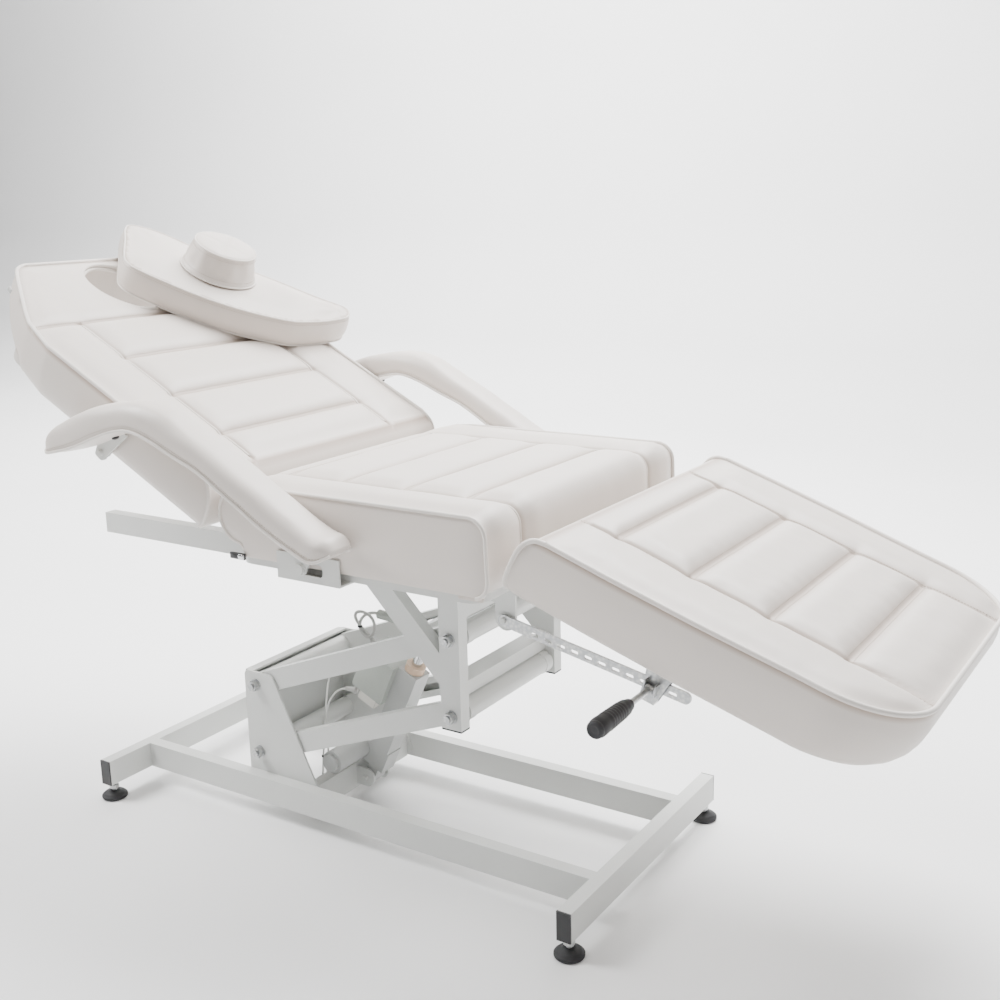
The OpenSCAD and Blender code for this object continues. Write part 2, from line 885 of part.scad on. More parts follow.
// Tapered plug of the face hole, lying on the pillow
module face_plug() {
    color("ivory") back_frame() translate([-535, 155, 73.5]) rotate_extrude()
        polygon([[0, 0], [80, 0], [85, 6], [83, 12], [67, 60], [60, 66], [0, 67]]);
}

placed() base_end_beams();
placed() base_side_rails();
placed() base_cross_beam();
placed() base_end_caps();
placed() foot_number(0);  // levelling_foot_1
placed() foot_number(1);  // levelling_foot_2
placed() foot_number(2);  // levelling_foot_3
placed() foot_number(3);  // levelling_foot_4
placed() pivot_side_plates();
placed() pivot_back_plate();
placed() base_pivot_bolts();
placed() actuator_base_bracket();
placed() upper_arm_bars();
placed() upper_arm_sleeves();
placed() upper_arm_bushes();
placed() upper_arm_cross_tube();
placed() actuator_top_ears();
placed() lower_arm_bars();
placed() lower_arm_sleeves();
placed() lower_arm_bushes();
placed() seat_rails();
placed() seat_rail_caps();
placed() uprights();
placed() upright_caps();
placed() frame_braces();
placed() lower_seat_cross();
placed() upper_seat_cross();
placed() frame_pivot_bolts();
placed() seat_board();
placed() seat_cushion();
placed() back_hinge_cheeks();
placed() leg_hinge_straps();
placed() strut_bracket();
placed() armrest_slides();
placed() actuator_housing();
placed() actuator_motor();
placed() actuator_collar();
placed() control_box();
placed() terminal_block();
placed() motor_lead();
placed() sensor_lead();
placed() lead_connector();
placed() actuator_rod();
placed() back_board();
placed() back_cushion();
placed() back_hinge_arms();
placed() armrest_stubs();
placed() near_armrest_pad();
placed() near_armrest_bar();
placed() far_armrest_pad();
placed() far_armrest_bar();
placed() leg_board();
placed() leg_cushion();
placed() leg_hinge_arms();
placed() latch_bracket();
placed() ratchet_rail();
placed() release_lever();
placed() lever_grip();
placed() pillow();
placed() face_plug();
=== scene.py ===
"""Looks of the facial treatment bed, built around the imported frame. Metres, +Z up.

Lists of points and sizes of the pieces are in millimetres. Section.world turns them into metres.
"""

import json
import math

import bmesh
import bpy
import numpy as np
from mathutils import Matrix, Vector, geometry, noise


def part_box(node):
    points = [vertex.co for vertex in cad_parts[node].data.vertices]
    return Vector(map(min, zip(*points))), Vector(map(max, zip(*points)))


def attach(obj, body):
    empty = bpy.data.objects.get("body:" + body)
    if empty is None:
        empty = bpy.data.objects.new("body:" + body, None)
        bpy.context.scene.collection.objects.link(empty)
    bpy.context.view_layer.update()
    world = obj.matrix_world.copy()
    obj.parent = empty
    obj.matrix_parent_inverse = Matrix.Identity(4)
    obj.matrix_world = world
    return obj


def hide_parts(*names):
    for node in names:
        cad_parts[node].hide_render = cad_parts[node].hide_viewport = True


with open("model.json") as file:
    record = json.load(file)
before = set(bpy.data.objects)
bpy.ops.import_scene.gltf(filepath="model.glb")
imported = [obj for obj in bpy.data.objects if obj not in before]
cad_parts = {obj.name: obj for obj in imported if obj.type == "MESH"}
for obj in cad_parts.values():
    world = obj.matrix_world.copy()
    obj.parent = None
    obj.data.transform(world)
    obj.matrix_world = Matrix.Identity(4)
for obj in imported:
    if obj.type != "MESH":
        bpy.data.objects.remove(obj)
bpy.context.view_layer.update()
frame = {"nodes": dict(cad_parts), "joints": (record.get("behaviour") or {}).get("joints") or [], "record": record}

MM = 0.001
HEAD_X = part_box("base_end_beams")[0].x      # outer face of the head end beam
JOINTS = {j["name"]: j for j in frame["joints"]}


def at(x, y, z):
    """A point in millimetres from the head end beam, as a point in the frame in metres."""
    return Vector((HEAD_X + x * MM, y * MM, z * MM))


# ---- Camera --------------------------------------------------------------------------

CAMERA_SPOT = (1918.0, -1744.2, 1143.9)
CAMERA_TURN = (33.56, 12.69, -1.494)        # azimuth, elevation and roll in degrees


def make_camera():
    azimuth, elevation, roll = (math.radians(angle) for angle in CAMERA_TURN)
    back = Vector((math.sin(azimuth) * math.cos(elevation),
                   -math.cos(azimuth) * math.cos(elevation), math.sin(elevation)))
    right = Vector((math.cos(azimuth), math.sin(azimuth), 0))
    up = back.cross(right)
    right_rolled = right * math.cos(roll) + up * math.sin(roll)
    up_rolled = up * math.cos(roll) - right * math.sin(roll)
    data = bpy.data.cameras.new("main_camera")
    data.sensor_width = 36
    data.lens = 44.7
    data.shift_x = 0.0114
    data.shift_y = -0.0187
    data.clip_start = 0.05
    data.clip_end = 100
    camera = bpy.data.objects.new("main_camera", data)
    bpy.context.scene.collection.objects.link(camera)
    matrix = Matrix((right_rolled, up_rolled, back)).transposed().to_4x4()
    matrix.translation = at(*CAMERA_SPOT)
    camera.matrix_world = matrix
    bpy.context.scene.camera = camera


make_camera()


# ---- Materials -----------------------------------------------------------------------

class Nodes:
    """A short way to build one procedural material."""

    def __init__(self, name):
        self.material = bpy.data.materials.new(name)
        self.material.use_nodes = True
        self.tree = self.material.node_tree
        self.shader = self.tree.nodes["Principled BSDF"]
        self.space = self.add("ShaderNodeTexCoord").outputs["Object"]
        self.height = None

    def add(self, kind, **values):
        made = self.tree.nodes.new(kind)
        for key, value in values.items():
            setattr(made, key, value)
        return made

    def link(self, source, target):
        self.tree.links.new(source, target)

    def set(self, **values):
        for key, value in values.items():
            self.shader.inputs[key.replace("_", " ")].default_value = value

    def noise(self, scale, detail=3.0, roughness=0.5):
        made = self.add("ShaderNodeTexNoise")
        made.inputs["Scale"].default_value = scale
        made.inputs["Detail"].default_value = detail
        made.inputs["Roughness"].default_value = roughness
        self.link(self.space, made.inputs["Vector"])
        return made.outputs["Fac"]

    def cells(self, scale, feature="DISTANCE_TO_EDGE"):
        made = self.add("ShaderNodeTexVoronoi", feature=feature)
        made.inputs["Scale"].default_value = scale
        self.link(self.space, made.inputs["Vector"])
        return made.outputs["Distance"]

    def attribute(self, name):
        return self.add("ShaderNodeAttribute", attribute_name=name).outputs["Fac"]

    def ramp(self, source, low, high, start=0.0, end=1.0):
        made = self.add("ShaderNodeMapRange")
        for key, value in (("From Min", start), ("From Max", end), ("To Min", low), ("To Max", high)):
            made.inputs[key].default_value = value
        self.link(source, made.inputs["Value"])
        return made.outputs["Result"]

    def blend(self, factor, first, second):
        made = self.add("ShaderNodeMix", data_type="RGBA")
        self.link(factor, made.inputs["Factor"])
        for value, socket in ((first, made.inputs[6]), (second, made.inputs[7])):
            if isinstance(value, tuple):
                socket.default_value = (*value, 1.0)
            else:
                self.link(value, socket)
        return made.outputs[2]

    def bump(self, source, distance, strength=1.0):
        made = self.add("ShaderNodeBump")
        made.inputs["Strength"].default_value = strength
        made.inputs["Distance"].default_value = distance
        self.link(source, made.inputs["Height"])
        if self.height is not None:
            self.link(self.height, made.inputs["Normal"])
        self.height = made.outputs["Normal"]
        self.link(self.height, self.shader.inputs["Normal"])


def leather(name, colour=(0.69, 0.632, 0.583), seam_shade_colour=(0.34, 0.24, 0.18), seam_shaded=True):
    """Soft artificial leather: fine pebble grain, faint creases, and painted warm shade in its seams."""
    m = Nodes(name)
    tone = m.ramp(m.noise(9.0, 2.0), 0.0, 0.35, 0.35, 0.75)
    base = m.blend(tone, colour, tuple(c * 0.965 for c in colour))
    # Painted shade: the seam attribute mixes a dark warm colour into the seams and under the top's edge.
    if seam_shaded:
        base = m.blend(m.attribute("seam"), base, seam_shade_colour)
    m.link(base, m.shader.inputs["Base Color"])
    m.link(m.ramp(m.noise(60.0, 2.0), 0.36, 0.50), m.shader.inputs["Roughness"])
    m.bump(m.cells(900.0), 0.00008, 0.35)
    m.bump(m.noise(240.0, 4.0, 0.6), 0.00012, 0.35)
    m.bump(m.noise(22.0, 2.0), 0.0013, 0.26)
    m.set(Specular_IOR_Level=0.45, Coat_Weight=0.06, Coat_Roughness=0.35)
    return m.material


def powder_coat(name, colour=(0.64, 0.65, 0.63)):
    """White powder coat with a fine orange peel."""
    m = Nodes(name)
    tone = m.ramp(m.noise(14.0, 3.0), 0.0, 0.5, 0.35, 0.7)
    m.link(m.blend(tone, colour, tuple(c * 0.96 for c in colour)), m.shader.inputs["Base Color"])
    m.link(m.ramp(m.noise(90.0), 0.30, 0.42), m.shader.inputs["Roughness"])
    m.bump(m.noise(420.0, 2.0), 0.00008, 0.35)
    m.bump(m.noise(25.0, 1.0), 0.0003, 0.12)
    return m.material


def zinc(name, colour=(0.60, 0.60, 0.58), dark=(0.42, 0.43, 0.44)):
    """Zinc plated steel with a mottled, lightly scratched finish."""
    m = Nodes(name)
    spangle = m.ramp(m.cells(170.0, "F1"), 0.0, 1.0, 0.1, 0.7)
    m.link(m.blend(spangle, colour, dark), m.shader.inputs["Base Color"])
    m.link(m.ramp(m.noise(130.0, 4.0), 0.22, 0.46), m.shader.inputs["Roughness"])
    m.bump(m.noise(600.0, 3.0), 0.00005, 0.4)
    m.set(Metallic=1.0)
    return m.material


def bright_steel(name):
    """Polished steel with fine streaks."""
    m = Nodes(name)
    streak = m.ramp(m.noise(35.0, 5.0, 0.7), 0.0, 1.0, 0.3, 0.7)
    m.link(m.blend(streak, (0.78, 0.78, 0.79), (0.66, 0.67, 0.69)), m.shader.inputs["Base Color"])
    m.link(m.ramp(m.noise(200.0, 3.0), 0.10, 0.22), m.shader.inputs["Roughness"])
    m.bump(m.noise(500.0, 2.0), 0.00002, 0.3)
    m.set(Metallic=1.0)
    return m.material


def plastic(name, colour, low=0.35, high=0.5, grain=500.0, depth=0.00006):
    """Moulded plastic with a fine spark texture."""
    m = Nodes(name)
    tone = m.ramp(m.noise(18.0, 3.0), 0.0, 1.0, 0.3, 0.75)
    m.link(m.blend(tone, colour, tuple(c * 0.88 for c in colour)), m.shader.inputs["Base Color"])
    m.link(m.ramp(m.noise(120.0, 3.0), low, high), m.shader.inputs["Roughness"])
    m.bump(m.noise(grain, 3.0), depth, 0.5)
    return m.material


LEATHER = leather("cream_leather")
PIPING = leather("piping_leather", colour=(0.74, 0.695, 0.65), seam_shaded=False)
THREAD = plastic("stitch_thread", (0.52, 0.44, 0.37), 0.6, 0.75, 900.0, 0.0001)
COAT = powder_coat("white_powder_coat")
ZINC = zinc("zinc_plate")
BRIGHT = bright_steel("bright_steel_finish")
BLACK = plastic("black_moulding", (0.018, 0.018, 0.02))
RUBBER = plastic("grip_rubber_finish", (0.02, 0.02, 0.022), 0.55, 0.75, 700.0, 0.00012)
ACTUATOR = plastic("actuator_casing", (0.52, 0.53, 0.52))
BOX = plastic("control_box_casing", (0.45, 0.48, 0.44))
RING = plastic("ring_moulding", (0.80, 0.58, 0.42), 0.4, 0.55)
NYLON = plastic("nylon_bush", (0.80, 0.78, 0.72))
WHITE_CABLE = plastic("white_cable_sheath", (0.78, 0.78, 0.75), 0.35, 0.5)
GREY_CABLE = plastic("grey_cable_sheath", (0.50, 0.50, 0.48), 0.35, 0.5)
COVER = leather("board_cover", colour=(0.66, 0.62, 0.58), seam_shaded=False)
TAG = leather("tag_cloth", colour=(0.45, 0.45, 0.44), seam_shaded=False)

SLOT_MATERIALS = {
    "powder_coat": COAT, "zinc": ZINC, "bright_steel": BRIGHT, "black_plastic": BLACK,
    "grip_rubber": RUBBER, "plywood": COVER, "actuator_grey": ACTUATOR, "box_grey": BOX,
    "ring_plastic": RING, "nylon": NYLON, "upholstery": LEATHER,
    "cable_white": WHITE_CABLE, "cable_grey": GREY_CABLE,
}

# Nodes shown painted, whatever their record slot names
PAINTED_NODES = ("near_armrest_bar", "far_armrest_bar", "armrest_stubs", "seat_board")


def dress_cad_nodes():
    """Gives every CAD node its finish, and smooth round faces."""
    for part in frame["record"]["subparts"]:
        node = frame["nodes"][part["node"]]
        node.data.materials.clear()
        finish = SLOT_MATERIALS[part["material_slot"]]
        node.data.materials.append(COAT if part["node"] in PAINTED_NODES else finish)
        node.data.shade_smooth()
        node.data.set_sharp_from_angle(angle=math.radians(32))


dress_cad_nodes()


# ---- Mesh helpers --------------------------------------------------------------------

def mesh_piece(name, points, faces, material, body, smooth=True, seam=None):
    """A new piece from points in metres, riding on a CAD body. Its seam values are painted shade."""
    data = bpy.data.meshes.new(name)
    data.from_pydata([tuple(p) for p in points], [], [tuple(int(i) for i in f) for f in faces])
    data.validate()
    built = bmesh.new()
    built.from_mesh(data)
    bmesh.ops.recalc_face_normals(built, faces=built.faces)
    built.to_mesh(data)
    built.free()
    if smooth:
        data.shade_smooth()
    # The seam attribute is painted shade, which the leather mixes into its colour.
    if seam is not None:
        layer = data.attributes.new("seam", "FLOAT", "POINT")
        layer.data.foreach_set("value", np.asarray(seam, np.float32))
    data.materials.append(material)
    piece = bpy.data.objects.new(name, data)
    bpy.context.scene.collection.objects.link(piece)
    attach(piece, body)
    return piece


def catmull(points, per_span=6, closed=False):
    """Points on one smooth curve through the given ones."""
    pts = np.asarray(points, float)
    count = len(pts)
    spans = count if closed else count - 1
    out = []
    for i in range(spans):
        p = [pts[(i + k) % count] if closed else pts[min(max(i + k, 0), count - 1)]
             for k in (-1, 0, 1, 2)]
        for s in range(per_span):
            t = s / per_span
            out.append(0.5 * (2 * p[1] + (p[2] - p[0]) * t
                              + (2 * p[0] - 5 * p[1] + 4 * p[2] - p[3]) * t * t
                              + (3 * p[1] - p[0] - 3 * p[2] + p[3]) * t ** 3))
    if not closed:
        out.append(pts[-1])
    return np.array(out)


def arc_lengths(points):
    """Length along a polyline at each of its points."""
    return np.concatenate([[0], np.cumsum(np.linalg.norm(np.diff(points, axis=0), axis=1))])


def band(first, second):
    """Faces between two closed rings of point numbers."""
    count = len(first)
    return [(first[i], second[i], second[(i + 1) % count], first[(i + 1) % count])
            for i in range(count)]


def tube_mesh(path, radius, sides=10, closed=False):
    """Points and faces of a round tube along a path, in the path's own units."""
    path = np.asarray(path, float)
    count = len(path)
    if closed:
        directions = np.roll(path, -1, 0) - np.roll(path, 1, 0)
    else:
        directions = np.gradient(path, axis=0)
    directions /= np.linalg.norm(directions, axis=1)[:, None] + 1e-12
    side = np.cross(directions[0], [0.31, 0.2, 0.93])
    points = []
    for centre, direction in zip(path, directions):
        side = side - direction * side.dot(direction)
        side /= np.linalg.norm(side)
        other = np.cross(direction, side)
        for k in range(sides):
            turn = 2 * math.pi * k / sides
            points.append(centre + radius * (math.cos(turn) * side + math.sin(turn) * other))
    faces = []
    for i in range(count if closed else count - 1):
        j = (i + 1) % count
        for k in range(sides):
            n = (k + 1) % sides
            faces.append((i * sides + k, i * sides + n, j * sides + n, j * sides + k))
    if not closed:
        faces.append(tuple(range(sides))[::-1])
        faces.append(tuple((count - 1) * sides + k for k in range(sides)))
    return np.array(points), faces


def join_meshes(parts):
    """One list of points and faces from several."""
    points, faces, base = [], [], 0
    for some, their_faces in parts:
        points.append(np.asarray(some, float))
        faces += [tuple(i + base for i in f) for f in their_faces]
        base += len(some)
    return np.vstack(points), faces


STITCH_OUTLINE = ((-1, -0.4), (-0.5, -1), (0.5, -1), (1, -0.4), (1, 0.4), (0.5, 1), (-0.5, 1), (-1, 0.4))


def stitch_meshes(path, normals, pitch=5.0, size=(3.4, 0.8, 0.7)):
    """Short raised stitches along a path, in the path's units."""
    path = np.asarray(path, float)
    along = arc_lengths(path)
    steps = np.diff(along)
    parts = []
    for s in np.arange(pitch / 2, along[-1], pitch):
        i = min(int(np.searchsorted(along, s)), len(path) - 1)
        a, b = path[max(i - 1, 0)], path[i]
        t = (s - along[max(i - 1, 0)]) / max(steps[max(i - 1, 0)], 1e-9)
        centre = a + (b - a) * t
        direction = (b - a) / (np.linalg.norm(b - a) + 1e-12)
        up = normals[i] / np.linalg.norm(normals[i])
        across = np.cross(up, direction)
        low, high = [], []
        for u, v in STITCH_OUTLINE:
            spot = centre + direction * u * size[0] / 2 + across * v * size[1] / 2
            low.append(spot - up * size[2] * 0.5)
            high.append(centre + (spot - centre) * 0.8 + up * size[2] * 0.5)
        count = len(STITCH_OUTLINE)
        faces = [tuple(range(count, 2 * count))]
        faces += [(k, (k + 1) % count, count + (k + 1) % count, count + k) for k in range(count)]
        faces.append(tuple(range(count - 1, -1, -1)))
        parts.append((np.array(low + high), faces))
    return parts


class Section:
    """Side-view frame of one upholstered section: along (towards the foot), across, and up."""

    def __init__(self, x, z, slope):
        self.x, self.z = x, z
        self.cos, self.sin = math.cos(math.radians(slope)), math.sin(math.radians(slope))

    def world(self, points):
        points = np.asarray(points, float)
        x = self.x + points[:, 0] * self.cos + points[:, 2] * self.sin
        z = self.z - points[:, 0] * self.sin + points[:, 2] * self.cos
        return np.stack([HEAD_X + x * MM, points[:, 1] * MM, z * MM], 1)


def turned_section(x, z, slope, hinge, turn):
    """A section turned about its hinge, by a few degrees away from its board's slope."""
    c, s = math.cos(math.radians(turn)), math.sin(math.radians(turn))
    dx, dz = x - hinge[0], z - hinge[1]
    return Section(hinge[0] + dx * c + dz * s, hinge[1] - dx * s + dz * c, slope + turn)


SEAT = Section(0, 699, 0)
BACK = turned_section(430, 700, 28.5, (419.1, 649), -1.0)
LEG = turned_section(1038, 688, 17.67, (988, 583), 2.07)
LEVER = Section(1038, 688, 17.67)           # the lever keeps the leg rest board's slope
WORLD = Section(0, 0, 0)


# ---- Upholstered sections ------------------------------------------------------------

class Seam:
    """A sewn line on a pad's top, as a polyline in (along, across), with its groove."""

    def __init__(self, points, depth, width, reach):
        self.points = np.asarray(points, float)
        self.depth, self.width, self.reach = depth, width, reach

    def distance(self, a, y):
        best = np.full(a.shape, 1e9)
        for (a0, y0), (a1, y1) in zip(self.points[:-1], self.points[1:]):
            da, dy = a1 - a0, y1 - y0
            t = np.clip(((a - a0) * da + (y - y0) * dy) / (da * da + dy * dy + 1e-9), 0, 1)
            best = np.minimum(best, np.hypot(a - a0 - t * da, y - y0 - t * dy))
        return best


def half_outline(ring, along_parts, arc_steps):
    """Right-hand half of a rounded rectangle, from its rear edge to its front edge."""
    a0, a1, half, r0, r1 = (ring[k] for k in ("a0", "a1", "half", "r0", "r1"))
    points = []
    for i in range(arc_steps):
        t = math.pi / 2 * i / arc_steps
        points.append((a0 + r0 - r0 * math.cos(t), half - r0 + r0 * math.sin(t)))
    for part in along_parts:
        points.append((a0 + r0 + part * (a1 - r1 - a0 - r0), half))
    for i in range(1, arc_steps + 1):
        t = math.pi / 2 * (1 - i / arc_steps)
        points.append((a1 - r1 + r1 * math.cos(t), half - r1 + r1 * math.sin(t)))
    return np.array(points)


def spread(low, high, step, marks, near=(1.2, 2.4, 3.8, 5.6, 8.0)):
    """Positions every step, and closer together on both sides of each mark."""
    values = list(np.arange(low, high, step)) + [high]
    for mark in marks:
        values = [v for v in values if abs(v - mark) > near[-1] * 0.9 or v in (low, high)]
        beside = [mark + s * d for s in (-1, 1) for d in near]
        values += [mark] + [v for v in beside if low < v < high]
    values = sorted(set(round(v, 4) for v in values))
    kept = [values[0]]
    for v in values[1:]:
        if v - kept[-1] > 0.6:
            kept.append(v)
    kept[-1] = high
    return np.array(kept)


class Pad:
    """A crowned cushion: a top with seams, and a wall of rings that goes down round it."""

    def __init__(self, rings, seams, puff, taper=None, arc_steps=10, step=5.5, wrinkle=0.5):
        self.rings, self.seams, self.puff = rings, seams, puff
        self.taper = taper or (lambda a: np.ones_like(a))
        self.wrinkle = wrinkle
        self.arc_steps = arc_steps
        first = rings[0]
        cross = [s.points[0][0] for s in seams if abs(s.points[0][0] - s.points[-1][0]) < 1e-6]
        long = [abs(s.points[0][1]) for s in seams if abs(s.points[0][1] - s.points[-1][1]) < 1e-6]
        a_low, a_high = first["a0"] + first["r0"], first["a1"] - first["r1"]
        rows = spread(a_low, a_high, step, [c for c in cross if a_low < c < a_high])
        self.parts = (rows - a_low) / (a_high - a_low)
        marks = sorted({s * v for v in long for s in (-1, 1)})
        columns = spread(-first["half"], first["half"], step, marks)
        self.columns = (columns + first["half"]) / (2 * first["half"])
        self.build()

    def loop(self, ring):
        """The ring's closed loop, in the order of the top grid's border."""
        half = half_outline(ring, self.parts, self.arc_steps)
        rows, last = len(half), len(self.columns) - 1
        weight_rear = np.zeros(rows)
        weight_front = np.zeros(rows)
        for i in range(self.arc_steps):
            weight_rear[i] = math.cos(math.pi / 2 * i / self.arc_steps) ** 2
            weight_front[rows - 1 - i] = math.cos(math.pi / 2 * i / self.arc_steps) ** 2
        n = (ring["n_side"] + weight_rear * (ring["n_rear"] - ring["n_side"])
             + weight_front * (ring["n_front"] - ring["n_side"]))
        order = [(0, c) for c in range(last + 1)] + [(r, last) for r in range(1, rows)]
        order += [(rows - 1, c) for c in range(last - 1, -1, -1)]
        order += [(r, 0) for r in range(rows - 2, 0, -1)]
        points = []
        for r, c in order:
            a, y = half[r]
            points.append((a, y * (2 * self.columns[c] - 1), n[r]))
        points = np.array(points)
        points[:, 1] *= self.taper(points[:, 0])
        return points, order, rows

    def height(self, a, y, edge):
        """Height of the top above its flat plane; edge is the distance from the border."""
        swell = self.puff * (1 - np.exp(-(edge / 26.0) ** 2))
        groove = np.zeros_like(a)
        for seam in self.seams:
            d = seam.distance(a, y)
            swell = swell * (1 - 0.92 * np.exp(-(d / seam.reach) ** 2))
            groove = groove - seam.depth * np.exp(-(d / seam.width) ** 2)
        rough = np.array([noise.noise(Vector((p * 0.011, q * 0.019, self.puff)))
                          + 0.5 * noise.noise(Vector((p * 0.035, q * 0.05, 3.0)))
                          for p, q in zip(a.ravel(), y.ravel())]).reshape(a.shape)
        return swell + groove + self.wrinkle * rough * (1 - np.exp(-(edge / 20.0) ** 2))

    def build(self):
        border, order, rows = self.loop(self.rings[0])
        columns = len(self.columns)
        grid = np.zeros((rows, columns, 3))
        half = half_outline(self.rings[0], self.parts, self.arc_steps)
        for r in range(rows):
            grid[r, :, 0] = half[r, 0]
            grid[r, :, 1] = half[r, 1] * (2 * self.columns - 1)
        grid[:, :, 1] *= self.taper(grid[:, :, 0])
        first = self.rings[0]
        side = half[:, 1][:, None] * self.taper(grid[:, :, 0]) - np.abs(grid[:, :, 1])
        ends = np.minimum(grid[:, :, 0] - first["a0"], first["a1"] - grid[:, :, 0])
        edge = np.minimum(side, ends)
        grid[:, :, 2] = self.height(grid[:, :, 0], grid[:, :, 1], edge)
        # Painted shade along the seams, stored in the seam attribute.
        seam_shade_weight = np.zeros(edge.shape)
        for seam in self.seams:
            d = seam.distance(grid[:, :, 0], grid[:, :, 1])
            seam_shade_weight = np.maximum(seam_shade_weight, np.exp(-(d / (seam.width * 1.2)) ** 2))
        self.points = list(grid.reshape(-1, 3))
        self.seam = list(seam_shade_weight.ravel() * 0.55)
        self.faces = [(r * columns + c, r * columns + c + 1, (r + 1) * columns + c + 1,
                       (r + 1) * columns + c) for r in range(rows - 1) for c in range(columns - 1)]
        previous = [r * columns + c for r, c in order]
        self.loops = [border]
        for ring in self.rings[1:]:
            points, _, _ = self.loop(ring)
            self.loops.append(points)
            start = len(self.points)
            self.points += list(points)
            # A ring's seam value paints shade round the pad just below its top edge.
            self.seam += [ring.get("seam", 0.0)] * len(points)
            now = list(range(start, start + len(points)))
            self.faces += band(previous, now)
            previous = now
        self.last = previous

    def close_bottom(self):
        self.faces.append(tuple(self.last))

    def surface(self, line, lift=0.0, step=4.0):
        """Points on the top along a polyline in (along, across)."""
        line = np.asarray(line, float)
        dense = []
        for p, q in zip(line[:-1], line[1:]):
            count = max(2, int(np.hypot(*(q - p)) / step))
            dense += [p + (q - p) * i / count for i in range(count)]
        dense.append(line[-1])
        dense = np.array(dense)
        first = self.rings[0]
        width = first["half"] * self.taper(dense[:, 0])
        edge = np.minimum(width - np.abs(dense[:, 1]),
                          np.minimum(dense[:, 0] - first["a0"], first["a1"] - dense[:, 0]))
        n = self.height(dense[:, 0], dense[:, 1], np.maximum(edge, 0)) + lift
        return np.column_stack([dense, n])


def finish_pad(pad, name, section, body, nodes):
    piece = mesh_piece(name, section.world(pad.points), pad.faces, LEATHER, body,
                       seam=pad.seam)
    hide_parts(*nodes)
    return piece


def piping(name, section, paths, radius, body):
    """Piping cord along several paths, each (points, closed)."""
    parts = [tube_mesh(points, radius, 10, closed) for points, closed in paths]
    points, faces = join_meshes(parts)
    mesh_piece(name, section.world(points), faces, PIPING, body)


def stitching(name, pad, section, lines, body, offset=3.6):
    """A row of stitches on each side of every line, sunk into the top."""
    parts = []
    for line, sides in lines:
        line = np.asarray(line, float)
        direction = (line[-1] - line[0]) / np.linalg.norm(line[-1] - line[0])
        across = np.array([-direction[1], direction[0]])
        for side in sides:
            path = pad.surface(line + across * side * offset, lift=0.15)
            normals = np.tile([0.0, 0.0, 1.0], (len(path), 1))
            parts += stitch_meshes(path, normals)
    points, faces = join_meshes(parts)
    mesh_piece(name, section.world(points), faces, THREAD, body)


def edge_stitching(name, section, paths, body):
    """A row of stitches along free paths, each (points, normals)."""
    parts = []
    for path, normals in paths:
        parts += stitch_meshes(path, normals)
    points, faces = join_meshes(parts)
    mesh_piece(name, section.world(points), faces, THREAD, body)


# ---- Leg rest cushion ----------------------------------------------------------------

def ring(a0, n_rear, a1, n_front, half, n_side, r0, r1, seam=0.0):
    """One ring round a pad: rear and front ends, half width, heights, corner radii, and the painted shade on it.
    """
    return {"a0": a0, "a1": a1, "half": half, "r0": r0, "r1": r1,
            "n_rear": n_rear, "n_front": n_front, "n_side": n_side, "seam": seam}


def leg_taper(a):
    """Share of the full width: the leg rest narrows towards the foot."""
    return np.interp(a, (120, 260, 404, 575), (1.0, 0.985, 0.955, 0.94))


def make_leg():
    """The leg rest's cushion, with piping round its edge and stitched seams."""
    rings = [
        ring(24, 0, 559, 0, 319, 0, 6, 118),
        # This ring carries painted shade just below the top's edge.
        ring(11, -2.5, 561, -5, 321, -4, 5, 120, 0.7),
        ring(0, -9, 563, -12, 322, -12, 4, 122),
        ring(-8, -20, 565, -24, 324, -24, 4, 123),
        ring(-13, -36, 565, -38, 324, -40, 4, 122),
        ring(-16, -54, 562, -54, 323, -56, 4, 120),
        ring(-19, -72, 556, -70, 320, -72, 4, 116),
        ring(-20, -86, 546, -84, 316, -86, 4, 110),
        ring(-17, -96, 532, -96, 309, -97, 4, 103),
        ring(-8, -103, 514, -105, 300, -104, 4, 95),
        ring(4, -106, 494, -108, 288, -106, 4, 86),
        ring(16, -100, 476, -102, 278, -100, 4, 80),
    ]
    long_y, cross_a = 187, (71, 194, 319, 437)
    seams = [Seam([(0, s * long_y), (575, s * long_y)], 5.0, 4.5, 19) for s in (-1, 1)]
    seams += [Seam([(a, -long_y), (a, long_y)], 3.6, 7.0, 18) for a in cross_a]
    pad = Pad(rings, seams, puff=10.0, wrinkle=1.1, taper=leg_taper, arc_steps=14)
    pad.close_bottom()
    finish_pad(pad, "leg_rest_upholstery", LEG, "leg_rest", ["leg_cushion"])
    loop = pad.loops[0].copy()
    loop[:, 2] = 1.5
    outward = loop[:, :2] - np.array([282.0, 0.0])
    loop[:, :2] += 2.0 * outward / np.linalg.norm(outward, axis=1)[:, None]
    edge = loop[loop[:, 0] > 26]
    corners = []
    for side in (-1, 1):
        corner = [(r["a0"] - 1, side * (r["half"] - 1), r["n_rear"] + 1) for r in rings[1:9]]
        corners.append(np.array([(28, side * 320, 1.2)] + corner))
    start, stop = corners if edge[0, 1] < 0 else corners[::-1]
    path = np.vstack([catmull(start[::-1]), edge, catmull(stop)])
    piping("leg_rest_edge_piping", LEG, [(path, False)], 4.0, "leg_rest")
    lines = [([(a, -long_y + 3), (a, long_y - 3)], (-1, 1)) for a in cross_a]
    lines += [([(8, s * long_y), (556, s * long_y)], (s,)) for s in (-1, 1)]
    stitching("leg_rest_stitching", pad, LEG, lines, "leg_rest", offset=5.0)


# ---- Seat cushion --------------------------------------------------------------------

def arc_points(centre, radius, start, stop, steps):
    turns = np.radians(np.linspace(start, stop, steps + 1))
    return [(centre[0] + radius * math.cos(t), centre[1] + radius * math.sin(t)) for t in turns]


